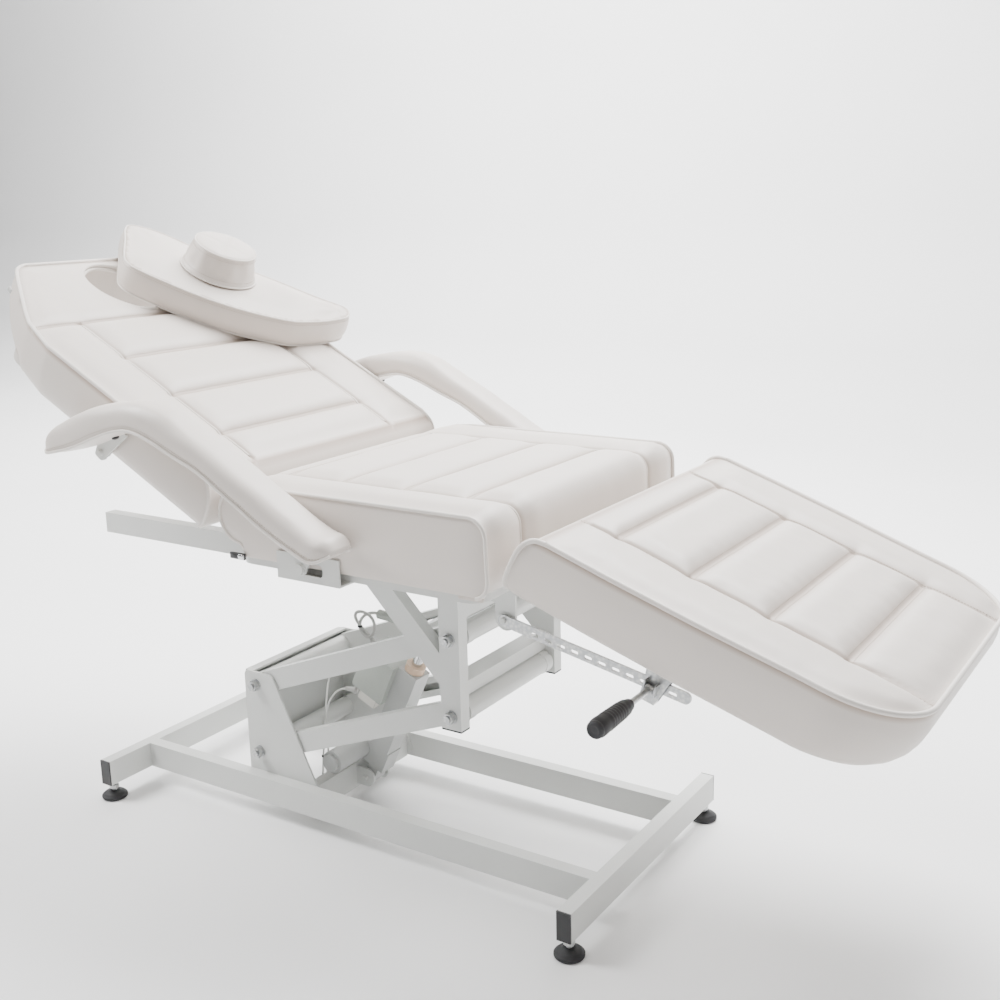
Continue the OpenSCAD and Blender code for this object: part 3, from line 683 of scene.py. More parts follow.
class Wrap:
    """A cushion whose top wraps round its ends, with a soft panel on each side."""

    def __init__(self, outline, half, long_seams, cross_seams, puff, swell_at, step=5.5):
        loop = np.array(outline, float)
        closed = np.vstack([loop, loop[:1]])
        lengths = arc_lengths(closed)
        self.total, self.closed, self.lengths = lengths[-1], closed, lengths
        top = [self.position_of(a) for a in cross_seams]
        rows = spread(0, self.total, step, top)[:-1]
        columns = spread(-half, half, step, sorted({s * v for v in long_seams for s in (-1, 1)}))
        self.rows, self.columns, self.half = rows, columns, half
        self.long_seams, self.cross = long_seams, top
        self.puff, self.swell_at = puff, swell_at
        grid_s, grid_y = np.meshgrid(rows, columns, indexing="ij")
        points, seam_shade_weight = self.top(grid_s, grid_y)
        count, width = grid_s.shape
        self.points = list(points.reshape(-1, 3))
        # Painted shade along the seams, stored in the seam attribute.
        self.seam = list(seam_shade_weight.ravel() * 0.55)
        self.faces = [(r * width + c, r * width + c + 1, ((r + 1) % count) * width + c + 1,
                       ((r + 1) % count) * width + c)
                      for r in range(count) for c in range(width - 1)]
        for side, column in ((-1, 0), (1, width - 1)):
            self.side_panel(side, [r * width + column for r in range(count)])

    def position_of(self, a):
        """Arc length where the outline's top passes the given place along."""
        fine = np.linspace(0, self.total, 4000)
        spots = np.array([self.at(s) for s in fine])
        top = spots[:, 1] > -1.0
        return float(fine[top][np.argmin(np.abs(spots[top, 0] - a))])

    def at(self, s):
        return (np.interp(s, self.lengths, self.closed[:, 0]),
                np.interp(s, self.lengths, self.closed[:, 1]))

    def normal(self, s):
        a0, n0 = self.at(np.maximum(s - 3.0, 0))
        a1, n1 = self.at(np.minimum(s + 3.0, self.total))
        da, dn = a1 - a0, n1 - n0
        size = np.hypot(da, dn) + 1e-9
        return -dn / size, da / size

    def top(self, s, y):
        edge = self.half - np.abs(y)
        strength = self.swell_at(s)
        rise = self.puff * (1 - np.exp(-(edge / 24.0) ** 2))
        groove = np.zeros_like(s)
        # This weight paints shade along the seams.
        seam_shade_near = np.zeros_like(s)
        for seam in self.long_seams:
            d = np.abs(np.abs(y) - seam)
            rise = rise * (1 - 0.92 * np.exp(-(d / 21.0) ** 2))
            groove -= 5.0 * np.exp(-(d / 4.5) ** 2)
            seam_shade_near = np.maximum(seam_shade_near, np.exp(-(d / 6.0) ** 2))
        inner = 1 / (1 + np.exp((np.abs(y) - self.long_seams[0] + 4) / 1.5))
        for seam in self.cross:
            d = np.abs(s - seam)
            rise = rise * (1 - 0.9 * inner * np.exp(-(d / 18.0) ** 2))
            groove -= 3.4 * inner * np.exp(-(d / 7.0) ** 2)
            seam_shade_near = np.maximum(seam_shade_near, inner * np.exp(-(d / 9.0) ** 2))
        a, n = self.at(s)
        rough = np.array([noise.noise(Vector((p * 0.012, q * 0.02, 7.0)))
                          for p, q in zip(s.ravel(), y.ravel())]).reshape(s.shape)
        height = (rise + groove + 0.9 * rough) * strength
        normal_a, normal_n = self.normal(s)
        points = np.stack([a + normal_a * height, y, n + normal_n * height], -1)
        return points, seam_shade_near * strength

    def side_panel(self, side, border):
        """Closes one side with rings that shrink towards its middle line and swell out."""
        low, high = self.closed[:, 0].min(), self.closed[:, 0].max()
        middle = (self.closed[:, 1].min() + self.closed[:, 1].max()) / 2
        reach = (self.closed[:, 1].max() - self.closed[:, 1].min()) / 2
        start = np.array([self.points[i] for i in border])
        previous = border
        for fraction, out in ((0.97, 0.8), (0.9, 2.4), (0.75, 4.4), (0.5, 6.0), (0.25, 6.8), (0.06, 7.0)):
            spine = np.clip(start[:, 0], low + reach, high - reach)
            ring_points = np.column_stack([
                spine + (start[:, 0] - spine) * fraction,
                np.full(len(start), side * (self.half + out)),
                middle + (start[:, 2] - middle) * fraction])
            base = len(self.points)
            self.points += list(ring_points)
            self.seam += [0.0] * len(ring_points)
            now = list(range(base, base + len(ring_points)))
            count = len(now)
            self.faces += [(previous[i], previous[(i + 1) % count], now[(i + 1) % count], now[i])
                           for i in range(count)]
            previous = now
        self.faces.append(tuple(previous))


def make_seat():
    """The seat's cushion, whose cover wraps round a roll at the rear and a soft front edge."""
    outline = [(480, -120), (478, -104)]
    outline += arc_points((477, -50), 50, 262, 90, 26)
    roll_last = len(outline) - 1
    outline += [(500 + 20 * i, 0) for i in range(22)]
    outline += arc_points((930, -30), 30, 90, 0, 10)
    outline += arc_points((936, -94), 26, 0, -90, 8)
    front_last = len(outline) - 1
    outline += [(936 - 20 * i, -120) for i in range(1, 23)]
    lengths = arc_lengths(np.array(outline, float))
    roll_end, front_end = lengths[roll_last], lengths[front_last]

    def swell_at(s):
        rise = np.clip((s - roll_end + 20) / 55.0, 0, 1)
        fall = np.clip((front_end - 20 - s) / 60.0, 0, 1)
        return 0.12 + 0.88 * (rise * rise * (3 - 2 * rise)) * (fall * fall * (3 - 2 * fall))

    long_y, cross_a = 214, (492, 611, 738, 860)
    pad = Wrap(outline, 313, [long_y], cross_a, 10.0, swell_at)
    finish_pad(pad, "seat_upholstery", SEAT, "seat", ["seat_cushion"])
    return_path = np.linspace(10, front_end - 6, 160)
    edges, ridges = [], []
    for side in (-1, 1):
        a, n = pad.at(return_path)
        normal_a, normal_n = pad.normal(return_path)
        proud = np.interp(return_path, (roll_end - 10, roll_end + 40), (-3.1, 1.2))
        edges.append((np.column_stack([a + proud * normal_a, np.full(len(a), side * 315.2),
                                       n + proud * normal_n]), False))
        ridge, _ = pad.top(return_path, np.full(len(a), side * float(long_y)))
        ridge[:, 0] += 1.6 * normal_a
        ridge[:, 2] += 1.6 * normal_n
        ridge = ridge[return_path > roll_end + 4]
        ridges.append((ridge, False))
    piping("seat_edge_piping", SEAT, edges, 3.2, "seat")
    piping("seat_seam_piping", SEAT, ridges, 2.2, "seat")
    parts = []
    for s in pad.cross:
        for offset in (-4.6, 4.6):
            y = np.linspace(-long_y + 4, long_y - 4, 110)
            line, _ = pad.top(np.full(len(y), s + offset), y)
            line[:, 2] += 0.2
            parts += stitch_meshes(line, np.tile([0.0, 0.0, 1.0], (len(y), 1)))
    points, faces = join_meshes(parts)
    mesh_piece("seat_stitching", SEAT.world(points), faces, THREAD, "seat")


# ---- Backrest cushion ----------------------------------------------------------------

BACK_HALF = 318.0
HEAD_RADIUS = 58.0                          # corners of the head end
HEAD_CORNER = -686                          # where those corners start
HEAD_WIDTHS = ((-712.3, 197.7), (-580, 274), (-534, 298), (-450, BACK_HALF), (100, BACK_HALF))


def back_taper(a):
    """Share of the full width at a place along the backrest."""
    a = np.asarray(a, float)
    places, widths = zip(*HEAD_WIDTHS)
    wanted = np.interp(a, places, widths)
    turn = np.clip((HEAD_CORNER - a) / HEAD_RADIUS, 0, 1)
    rounding = np.sqrt(1 - turn ** 2)
    wanted = np.where(a < places[0], 146 + HEAD_RADIUS * rounding, wanted)
    plain = np.where(a < HEAD_CORNER, BACK_HALF - HEAD_RADIUS + HEAD_RADIUS * rounding, BACK_HALF)
    return wanted / plain


FACE_CENTRE, FACE_LONG, FACE_WIDE, FACE_POINTS = -628, 92, 75, 72


def make_backrest():
    """The backrest's cushion, with its tapered head end, piping and face hole."""
    rings = [
        ring(-740, 0, -38, 0, 314, 0, 58, 6),
        # This ring carries painted shade just below the top's edge.
        ring(-742, -4, -28, -3, 316, -5, 58, 5, 0.7),
        ring(-744, -11, -14, -10, 318, -13, 58, 4),
        ring(-746, -22, -2, -24, 320, -26, 58, 4),
        ring(-746, -36, 5, -42, 321, -42, 58, 4),
        ring(-745, -48, 6, -58, 320, -57, 58, 4),
        ring(-742, -58, 5, -72, 319, -71, 58, 4),
        ring(-738, -70, 2, -86, 316, -85, 58, 4),
        ring(-732, -82, -4, -97, 311, -97, 58, 4),
        ring(-724, -90, -14, -103, 303, -104, 58, 4),
        ring(-712, -90, -26, -100, 294, -102, 58, 4),
    ]
    long_y, cross_a, head_a = 193, (-388, -253, -120), -519
    seams = [Seam([(head_a, s * long_y), (-20, s * long_y)], 4.6, 4.5, 19) for s in (-1, 1)]
    seams += [Seam([(a, -long_y), (a, long_y)], 3.6, 7.0, 18) for a in cross_a]
    seams.append(Seam([(head_a, -305), (head_a, 305)], 4.2, 5.5, 20))
    pad = Pad(rings, seams, puff=8.0, taper=back_taper, wrinkle=0.8, arc_steps=12)
    pad.close_bottom()
    piece = finish_pad(pad, "backrest_upholstery", BACK, "backrest", ["back_cushion"])
    cut_face_hole(piece)
    loop = pad.loops[0].copy()
    loop[:, 2] = 1.0
    centre = np.array([-330.0, 0.0])
    outward = loop[:, :2] - centre
    loop[:, :2] += 2.2 * outward / np.linalg.norm(outward, axis=1)[:, None]
    kept = loop[:, 0] < -44
    gap = int(np.argmin(kept))
    start = gap + int(np.argmax(kept[gap:]))
    edge = np.roll(loop, -start, 0)[:int(kept.sum())]
    first, last = sorted((-1, 1), key=lambda side: side != np.sign(edge[0, 1]))
    ends = {side: np.array([(r["a1"] - 3.9, side * (r["half"] + 0.2), r["n_front"] + 0.5)
                            for r in rings[1:9]]) for side in (-1, 1)}
    edge = np.vstack([catmull(ends[first][::-1]), edge, catmull(ends[last])])
    ridges = []
    for side in (-1, 1):
        flat = pad.surface([(head_a, side * long_y), (-46, side * long_y)], lift=1.4)
        ridges.append((flat, False))
    piping("backrest_edge_piping", BACK, [(edge, False)], 3.8, "backrest")
    piping("backrest_seam_piping", BACK, ridges, 2.2, "backrest")
    lines = [([(a, -long_y + 3), (a, long_y - 3)], (-1, 1)) for a in cross_a]
    lines.append(([(head_a, -300), (head_a, 300)], (-1, 1)))
    stitching("backrest_stitching", pad, BACK, lines, "backrest", offset=4.6)


def face_ring(long, wide, n):
    """An oval round the face hole's centre, at one height."""
    turns = [2 * math.pi * i / FACE_POINTS for i in range(FACE_POINTS)]
    return np.array([(FACE_CENTRE + long * math.cos(t), wide * math.sin(t), n) for t in turns])


def cut_face_hole(piece):
    """Cuts the oval face hole and rolls its rim over with piping and a lining."""
    count = FACE_POINTS
    low, high = face_ring(FACE_LONG, FACE_WIDE, -140), face_ring(FACE_LONG, FACE_WIDE, 40)
    faces = [(i, (i + 1) % count, count + (i + 1) % count, count + i) for i in range(count)]
    faces += [tuple(range(count))[::-1], tuple(range(count, 2 * count))]
    data = bpy.data.meshes.new("face_cutter")
    data.from_pydata([tuple(p) for p in BACK.world(np.vstack([low, high]))], [], faces)
    cutter = bpy.data.objects.new("face_cutter", data)
    bpy.context.scene.collection.objects.link(cutter)
    cut = piece.modifiers.new("face_hole", "BOOLEAN")
    cut.operation = "DIFFERENCE"
    cut.solver = "EXACT"
    cut.object = cutter
    bpy.context.view_layer.update()
    depsgraph = bpy.context.evaluated_depsgraph_get()
    made = bpy.data.meshes.new_from_object(piece.evaluated_get(depsgraph))
    piece.modifiers.clear()
    piece.data = made
    bpy.data.objects.remove(cutter)
    rims = [(face_ring(FACE_LONG + 1, FACE_WIDE + 1, 2.5), True),
            (face_ring(FACE_LONG - 2, FACE_WIDE - 2, -5), True)]
    piping("face_hole_rim", BACK, rims, 4.0, "backrest")


make_leg()
make_seat()
make_backrest()


# ---- Pillow --------------------------------------------------------------------------

PILLOW_PLAN = [(-592, -15), (-534, 10), (-473, 44), (-420, 84), (-375, 132), (-337, 190), (-325, 245),
               (-322, 300), (-328, 356), (-360, 382), (-412, 347), (-487, 304), (-560, 258),
               (-660, 205), (-718, 178), (-756, 150), (-772, 116), (-752, 88), (-715, 58),
               (-650, 2), (-622, -15)]


def even_loop(points, step):
    """The closed curve through the points, at an even spacing."""
    curve = catmull(points, 12, closed=True)
    closed = np.vstack([curve, curve[:1]])
    lengths = arc_lengths(closed)
    count = int(lengths[-1] / step)
    spots = np.linspace(0, lengths[-1], count, endpoint=False)
    return np.stack([np.interp(spots, lengths, closed[:, k]) for k in (0, 1)], 1)


def distance_to(points, loop):
    """Distance of each point from a closed loop."""
    best = np.full(len(points), 1e9)
    for p, q in zip(loop, np.roll(loop, -1, 0)):
        d = q - p
        t = np.clip(((points - p) @ d) / (d @ d), 0, 1)
        best = np.minimum(best, np.linalg.norm(points - p - t[:, None] * d, axis=1))
    return best


def inside(points, loop):
    """Which of the points lie inside a closed loop."""
    x, y = points[:, 0], points[:, 1]
    odd = np.zeros(len(points), bool)
    for (x0, y0), (x1, y1) in zip(loop, np.roll(loop, -1, 0)):
        crosses = (y0 > y) != (y1 > y)
        odd ^= crosses & (x < (x1 - x0) * (y - y0) / (y1 - y0 + 1e-12) + x0)
    return odd


def fill_loop(loop, step):
    """Even triangles inside a loop. The first points are the loop's own."""
    low, high = loop.min(0), loop.max(0)
    rows = []
    for i, a in enumerate(np.arange(low[0], high[0], step * 0.87)):
        shift = step / 2 if i % 2 else 0
        rows += [(a, y + shift) for y in np.arange(low[1], high[1], step)]
    inner = np.array(rows)
    inner = inner[inside(inner, loop)]
    inner = inner[distance_to(inner, loop) > step * 0.6]
    everything = np.vstack([loop, inner])
    count = len(loop)
    edges = [(i, (i + 1) % count) for i in range(count)]
    verts, _, faces, origins, _, _ = geometry.delaunay_2d_cdt(
        [Vector(p) for p in everything], edges, [], 1, 1e-6)
    back = {new: old[0] for new, old in enumerate(origins)}
    return everything, [tuple(back[i] for i in face) for face in faces]


def wrinkle_field(points, centre, reach, spokes, height):
    """Creases that run out from one place."""
    offset = points - np.asarray(centre, float)
    distance = np.linalg.norm(offset, axis=1)
    angle = np.arctan2(offset[:, 1], offset[:, 0])
    wander = np.array([noise.noise(Vector((p[0] * 0.03, p[1] * 0.03, 1.7))) for p in points])
    fading = np.exp(-(distance / reach) ** 2) * np.clip(distance / 12.0, 0, 1)
    return height * np.sin(angle * spokes + 4 * wander) * fading


def make_pillow():
    """The half-moon pillow: a domed top, a rounded wall and a flatter underside."""
    loop = even_loop(PILLOW_PLAN, 6.0)
    flat, faces = fill_loop(loop, 7.0)
    edge = distance_to(flat, loop)
    count = len(loop)
    edge[:count] = 0
    soft = np.array([noise.noise(Vector((p[0] * 0.012, p[1] * 0.012, 5.0))) for p in flat])
    creases = wrinkle_field(flat, (-352, 352), 62, 11, 2.5)
    creases += wrinkle_field(flat, (-765, 118), 55, 9, 1.9)
    dome = 12 * (1 - np.exp(-(edge / 34.0) ** 1.5)) + 2.2 * soft * np.clip(edge / 25.0, 0, 1)
    pucker = 0.7 * np.sin(np.arange(count) * 1.3) * (np.arange(count) % 3 > 0)
    top = np.column_stack([flat, 64 + dome + creases * np.clip(edge / 8.0, 0, 1)])
    top[:count, 2] += 0.4 * pucker
    bottom = np.column_stack([flat, 8 - 4.5 * (1 - np.exp(-(edge / 20.0) ** 1.5))])
    outward = np.roll(loop, -1, 0) - np.roll(loop, 1, 0)
    outward = np.column_stack([outward[:, 1], -outward[:, 0]])
    outward /= np.linalg.norm(outward, axis=1)[:, None]
    if np.dot(outward[0], loop[0] - loop.mean(0)) < 0:
        outward = -outward
    points = [top]
    total = len(top)
    all_faces = list(faces)
    previous = list(range(count))
    rough = np.array([noise.noise(Vector((p[0] * 0.03, p[1] * 0.03, 9.0))) for p in loop])
    for n, out in ((60, 2.0), (52, 4.6), (42, 6.2), (30, 6.4), (20, 5.0), (12, 2.2)):
        spots = loop + outward * (out + 1.3 * rough * math.sin(math.pi * (n - 8) / 56))[:, None]
        points.append(np.column_stack([spots, np.full(count, float(n)) + 0.8 * rough]))
        now = list(range(total, total + count))
        total += count
        all_faces += band(previous, now)
        previous = now
    points.append(bottom)
    all_faces += band(previous, list(range(total, total + count)))
    all_faces += [tuple(total + i for i in reversed(face)) for face in faces]
    points = np.vstack(points)
    # Painted shade along the pillow's top edge, under its piping.
    seam = np.zeros(len(points))
    seam[:count] = 0.6
    piece = mesh_piece("pillow_shell", BACK.world(points), all_faces, LEATHER, "pillow",
                       seam=seam)
    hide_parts("pillow")
    upper = np.column_stack([loop + outward * 0.8, np.full(count, 63.6)])
    lower = np.column_stack([loop + outward * 1.2, np.full(count, 8.4)])
    piping("pillow_piping", BACK, [(upper, True), (lower, True)], 2.0, "pillow")
    side = loop + outward * 3.2
    up = np.column_stack([outward, np.full(count, 0.35)])
    line = np.column_stack([side, np.full(count, 57.0)])
    edge_stitching("pillow_stitching", BACK, [(line, up)], "pillow")


def lathe(profile, centre, axis, steps=36):
    """Points and faces of a turned shape; the profile is (radius, height) along the axis."""
    axis = np.asarray(axis, float) / np.linalg.norm(axis)
    side = np.cross(axis, [0.3, 0.87, 0.21])
    side /= np.linalg.norm(side)
    other = np.cross(axis, side)
    points, faces = [], []
    for radius, height in profile:
        for k in range(steps):
            turn = 2 * math.pi * k / steps
            points.append(np.asarray(centre, float) + axis * height
                          + radius * (math.cos(turn) * side + math.sin(turn) * other))
    for i in range(len(profile) - 1):
        for k in range(steps):
            n = (k + 1) % steps
            faces.append((i * steps + k, i * steps + n, (i + 1) * steps + n, (i + 1) * steps + k))
    faces.append(tuple(range(steps))[::-1])
    faces.append(tuple((len(profile) - 1) * steps + k for k in range(steps)))
    return np.array(points), faces


def make_plug():
    """The tapered plug of the face hole, with soft ripples in its wall."""
    centre = np.array([-535.0, 155.0])
    profile = [(56, 73.5), (70, 74), (76, 75.5), (79, 79), (78, 83), (75.5, 87), (73.5, 92), (72, 98),
               (71, 106), (68.5, 116), (66, 126), (64.5, 131), (63.5, 134), (61.5, 136.5), (57, 138.5),
               (50, 140), (41, 141.2), (31, 142), (20, 142.5), (9, 142.7), (1.5, 142.8)]
    points, faces = lathe(profile, (*centre, 0), (0, 0, 1), steps=96)
    local = points[:, :2] - centre
    radius = np.linalg.norm(local, axis=1)
    angle = np.arctan2(local[:, 1], local[:, 0])
    wall = np.clip((points[:, 2] - 84) / 10, 0, 1) * np.clip((136 - points[:, 2]) / 10, 0, 1)
    ripple = 1.0 * np.sin(angle * 7 + 0.05 * points[:, 2]) + 0.7 * np.sin(angle * 13 + 1.0)
    for seam in (0.9, 0.9 + math.pi):
        ripple -= 2.6 * np.exp(-((angle - seam + math.pi) % (2 * math.pi) - math.pi) ** 2 / 0.004)
    scale = 1 + ripple * wall / np.maximum(radius, 1)
    points[:, :2] = centre + local * scale[:, None]
    crease = 3.4 * np.exp(-((local[:, 0] * 0.75 + local[:, 1] * 0.55) / 5.0) ** 2)
    crease += 1.6 * np.exp(-((local[:, 0] * 0.3 - local[:, 1] * 0.9 - 9) / 4.0) ** 2)
    points[:, 2] -= crease * np.clip((62 - radius) / 30, 0, 1) * (points[:, 2] > 136)
    piece = mesh_piece("plug_shell", BACK.world(points), faces, LEATHER, "plug",
                       seam=np.zeros(len(points)))
    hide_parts("face_plug")
    turns = np.linspace(0, 2 * math.pi, 90, endpoint=False)

    def circle(r, n):
        return np.column_stack([centre[0] + r * np.cos(turns), centre[1] + r * np.sin(turns),
                                np.full(len(turns), float(n))])

    piping("plug_piping", BACK, [(circle(79.2, 79), True), (circle(64.0, 134.5), True)], 1.9, "plug")
    out = np.column_stack([np.cos(turns), np.sin(turns), np.full(len(turns), 0.4)])
    edge_stitching("plug_stitching", BACK, [(circle(66.6, 127), out), (circle(75.6, 88), out)], "plug")


# ---- Armrests ------------------------------------------------------------------------

ARM_TOP = [(94, 744), (96, 760), (108, 778), (150, 798), (211, 821), (278, 834), (333, 838),
           (386, 828), (430, 806), (498, 770), (576, 727), (638, 692), (696, 662), (722, 655),
           (735, 641)]
ARM_BOTTOM = [(95, 743), (104, 735), (124, 735), (186, 748), (240, 767), (284, 782), (328, 788),
              (376, 776), (428, 755), (484, 734), (550, 695), (617, 656), (678, 628), (706, 619),
              (734, 634)]
ARM_MIDDLE, ARM_HALF = 365.5, 41.0
ARM_ARC = 18                                # steps over a section's round top
ARM_BASE = 8                                # steps across its underside
ARM_RIM = 0.12                              # height of the top's edge, as a share of the arm's
SCREW_HEAD = [(2, 0), (6.2, 0.5), (6.5, 2.0), (5.6, 3.6), (3.2, 4.6), (2.0, 3.2), (0.6, 3.2)]


def arm_stations():
    """Top and bottom points of the arm's sections, their places along it, and their widths."""
    top, bottom = catmull(ARM_TOP, 7), catmull(ARM_BOTTOM, 7)
    along = arc_lengths((top + bottom) / 2)
    rear = 0.55 + 0.45 * np.sqrt(1 - (1 - np.clip(along / 45.0, 0, 1)) ** 2)
    front = 0.40 + 0.60 * np.sqrt(1 - (1 - np.clip((along[-1] - along) / 40.0, 0, 1)) ** 2)
    return top, bottom, along, rear * front


def arm_ring(top, bottom, width, s):
    """One section of the arm: a round top over a flat, slightly hollow underside."""
    up = top - bottom
    ring_points = []
    for k in range(ARM_ARC + 1):
        turn = math.pi * k / ARM_ARC
        across = math.copysign(abs(math.cos(turn)) ** 0.62, math.cos(turn))
        rise = ARM_RIM + (1 - ARM_RIM) * abs(math.sin(turn)) ** 0.72
        full = 1 + 0.022 * noise.noise(Vector((s * 0.02, k * 0.35, 2.0)))
        spot = bottom + up * rise * full
        ring_points.append((spot[0], across * ARM_HALF * width * full, spot[1]))
    for k in range(1, ARM_BASE):
        share = k / ARM_BASE
        depth = ARM_RIM - 0.10 * math.sin(math.pi * share)
        spot = bottom + up * depth
        ring_points.append((spot[0], (2 * share - 1) * ARM_HALF * width * 0.99, spot[1]))
    return ring_points


def make_armrest(side, body, node):
    """One armrest's padded arm, with piping, stitches and two screws below."""
    top, bottom, along, widths = arm_stations()
    rings = [arm_ring(t, b, w, s + side * 40) for t, b, w, s in zip(top, bottom, widths, along)]
    points = np.array(rings)
    points[:, :, 1] = points[:, :, 1] * side + side * ARM_MIDDLE
    count, width = points.shape[:2]
    faces = [(r * width + c, r * width + (c + 1) % width, (r + 1) * width + (c + 1) % width,
              (r + 1) * width + c) for r in range(count - 1) for c in range(width)]
    faces.append(tuple(range(width))[::-1])
    faces.append(tuple((count - 1) * width + c for c in range(width)))
    piece = mesh_piece(f"{body}_shell", WORLD.world(points.reshape(-1, 3)), faces, LEATHER, body,
                       seam=np.zeros(count * width))
    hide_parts(node)
    edges = []
    for column in (0, ARM_ARC):
        path = points[1:-1, column].copy()
        path[:, 1] += side * (1 if column == 0 else -1) * 0.8
        edges.append((path, False))
    piping(f"{body}_piping", WORLD, edges, 2.6, body)
    stitches = []
    for column, above, out in ((0, 2, 1), (ARM_ARC, ARM_ARC - 2, -1)):
        low, high = points[4:-4, column], points[4:-4, above]
        path = low + (high - low) * 0.35
        path[:, 1] += side * out * 0.7
        normals = np.tile([0.0, float(side * out), 0.15], (len(path), 1))
        stitches.append((path, normals))
    edge_stitching(f"{body}_stitching", WORLD, stitches, body)
    screws = []
    for target in (250, 470):
        i = int(np.argmin(np.abs(bottom[:, 0] - target)))
        direction = bottom[i + 1] - bottom[i - 1]
        down = np.array([direction[1], 0, -direction[0]]) / np.linalg.norm(direction)
        centre = np.array([bottom[i, 0], side * ARM_MIDDLE, bottom[i, 1] + 2])
        screws.append(lathe(SCREW_HEAD, centre, down, 20))
    spots, screw_faces = join_meshes(screws)
    mesh_piece(f"{body}_screws", WORLD.world(spots), screw_faces, BLACK, body)


# ---- Feet, grip and small trim -------------------------------------------------------

THREAD_PITCH = 1.5
THREAD_TURNS = 24
THREAD_START = 14.0                         # height above the floor


def make_feet():
    """The levelling feet: a moulded pad, and a threaded stud with its lock nut."""
    for number in range(1, 5):
        node = f"levelling_foot_{number}"
        low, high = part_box(node)
        centre = ((low.x + high.x) / 2 / MM - HEAD_X / MM, (low.y + high.y) / 2 / MM, 0)
        body = f"foot_{number}"
        base = [(19, 0), (22.5, 0.3), (24.3, 1.6), (25, 3.5), (25, 6.4), (24.2, 7.6), (21.5, 8.6),
                (21, 10.5), (18.5, 12.2), (12, 13.6), (11, 15.0), (9.5, 15.6), (5, 15.8)]
        points, faces = lathe(base, centre, (0, 0, 1), 40)
        pad = mesh_piece(f"{node}_pad", WORLD.world(points), faces, RUBBER, body)
        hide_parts(node)
        thread = []
        for turn in range(THREAD_TURNS):
            crest = THREAD_START + turn * THREAD_PITCH
            thread += [(5.0, crest), (4.3, crest + THREAD_PITCH / 2)]
        nut = [(5, 19.8), (8.2, 19.8), (9.6, 20.6), (9.6, 27.2), (8.2, 28), (5, 28)]
        parts = [lathe(thread, centre, (0, 0, 1), 20), lathe(nut, centre, (0, 0, 1), 6)]
        points, faces = join_meshes(parts)
        mesh_piece(f"{node}_stud", WORLD.world(points), faces, ZINC, body, smooth=False)


def make_grip():
    """The lever's rubber grip, with grooves along it and a domed end."""
    profile = [(5, -2), (8.6, -1), (9.2, 1), (9.6, 5), (11.6, 11), (12.4, 18)]
    for groove in range(7):
        start = 24 + groove * 7
        radius = 12.6 + groove * 0.2
        profile += [(radius, start), (radius + 0.5, start + 1.5), (radius + 0.5, start + 4),
                    (radius, start + 5.4)]
    profile += [(14.2, 78), (14.6, 86), (14.4, 93), (13.2, 96), (13.0, 97.2), (13.4, 98.2), (13.0, 101),
                (11.2, 104), (8.4, 105), (7.6, 104.2), (4, 104.2), (0.6, 104.6)]
    points, faces = lathe(profile, (195, -262, -197), (0, -1, 0), 40)
    grip = mesh_piece("lever_grip_moulding", LEVER.world(points), faces, RUBBER, "lever")
    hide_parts("lever_grip")


PANEL_LEVELS = ((-0.5, 0.30), (-0.5, 0.93), (-0.25, 1.0), (0.25, 1.0), (0.5, 0.93), (0.62, 0.30))
PANEL_POINTS = 24


def panel(name, section, centre, along, across, size, thick, material, body, sag=0.0):
    """A small stitched or moulded plate with rounded corners and a slight sag."""
    along = np.asarray(along, float) / np.linalg.norm(along)
    across = np.asarray(across, float) / np.linalg.norm(across)
    out = np.cross(along, across)
    corner = min(size) * 0.18
    loop = []
    for turn in range(PANEL_POINTS):
        angle = 2 * math.pi * (turn + 0.5) / PANEL_POINTS
        u = math.copysign(size[0] / 2 - corner, math.cos(angle)) + corner * math.cos(angle)
        v = math.copysign(size[1] / 2 - corner, math.sin(angle)) + corner * math.sin(angle)
        loop.append((u, v))
    points, faces = [], []
    for level, share in PANEL_LEVELS:
        for corner_u, corner_v in loop:
            u, v = corner_u * share, corner_v * share
            rise = level * thick + sag * (1 - (2 * u / size[0]) ** 2)
            points.append(np.asarray(centre, float) + along * u + across * v + out * rise)
    count = PANEL_POINTS
    last = (len(PANEL_LEVELS) - 1) * count
    for start in range(0, last, count):
        for k in range(count):
            n = (k + 1) % count
            faces.append((start + k, start + n, start + count + n, start + count + k))
    faces += [tuple(range(count))[::-1], tuple(range(last, last + count))]
    seam = np.zeros(len(points)) if material is LEATHER else None
    return mesh_piece(name, section.world(np.array(points)), faces, material, body, seam=seam)


def make_trim():
    """The small leather flap, the blank tag, and the clip with its buckle."""
    panel("seat_front_flap", WORLD, (925, -300, 580), (1, 0, 0), (0, 0.35, 1), (46, 22), 2.4, LEATHER,
          "seat", sag=1.2)
    panel("head_tag", BACK, (-655, -253, 1.5), (1, -0.32, 0), (0, 0.3, 1), (18, 9), 1.0, TAG,
          "backrest")
    panel("seat_edge_clip", WORLD, (468, -318, 580), (1, 0, 0), (0, 0, 1), (34, 11), 5.0, BLACK,
          "seat")
    panel("seat_edge_buckle", WORLD, (478, -321.5, 580), (1, 0, 0), (0, 0, 1), (13, 8), 2.0, BRIGHT,
          "seat")


# ---- Leads ---------------------------------------------------------------------------

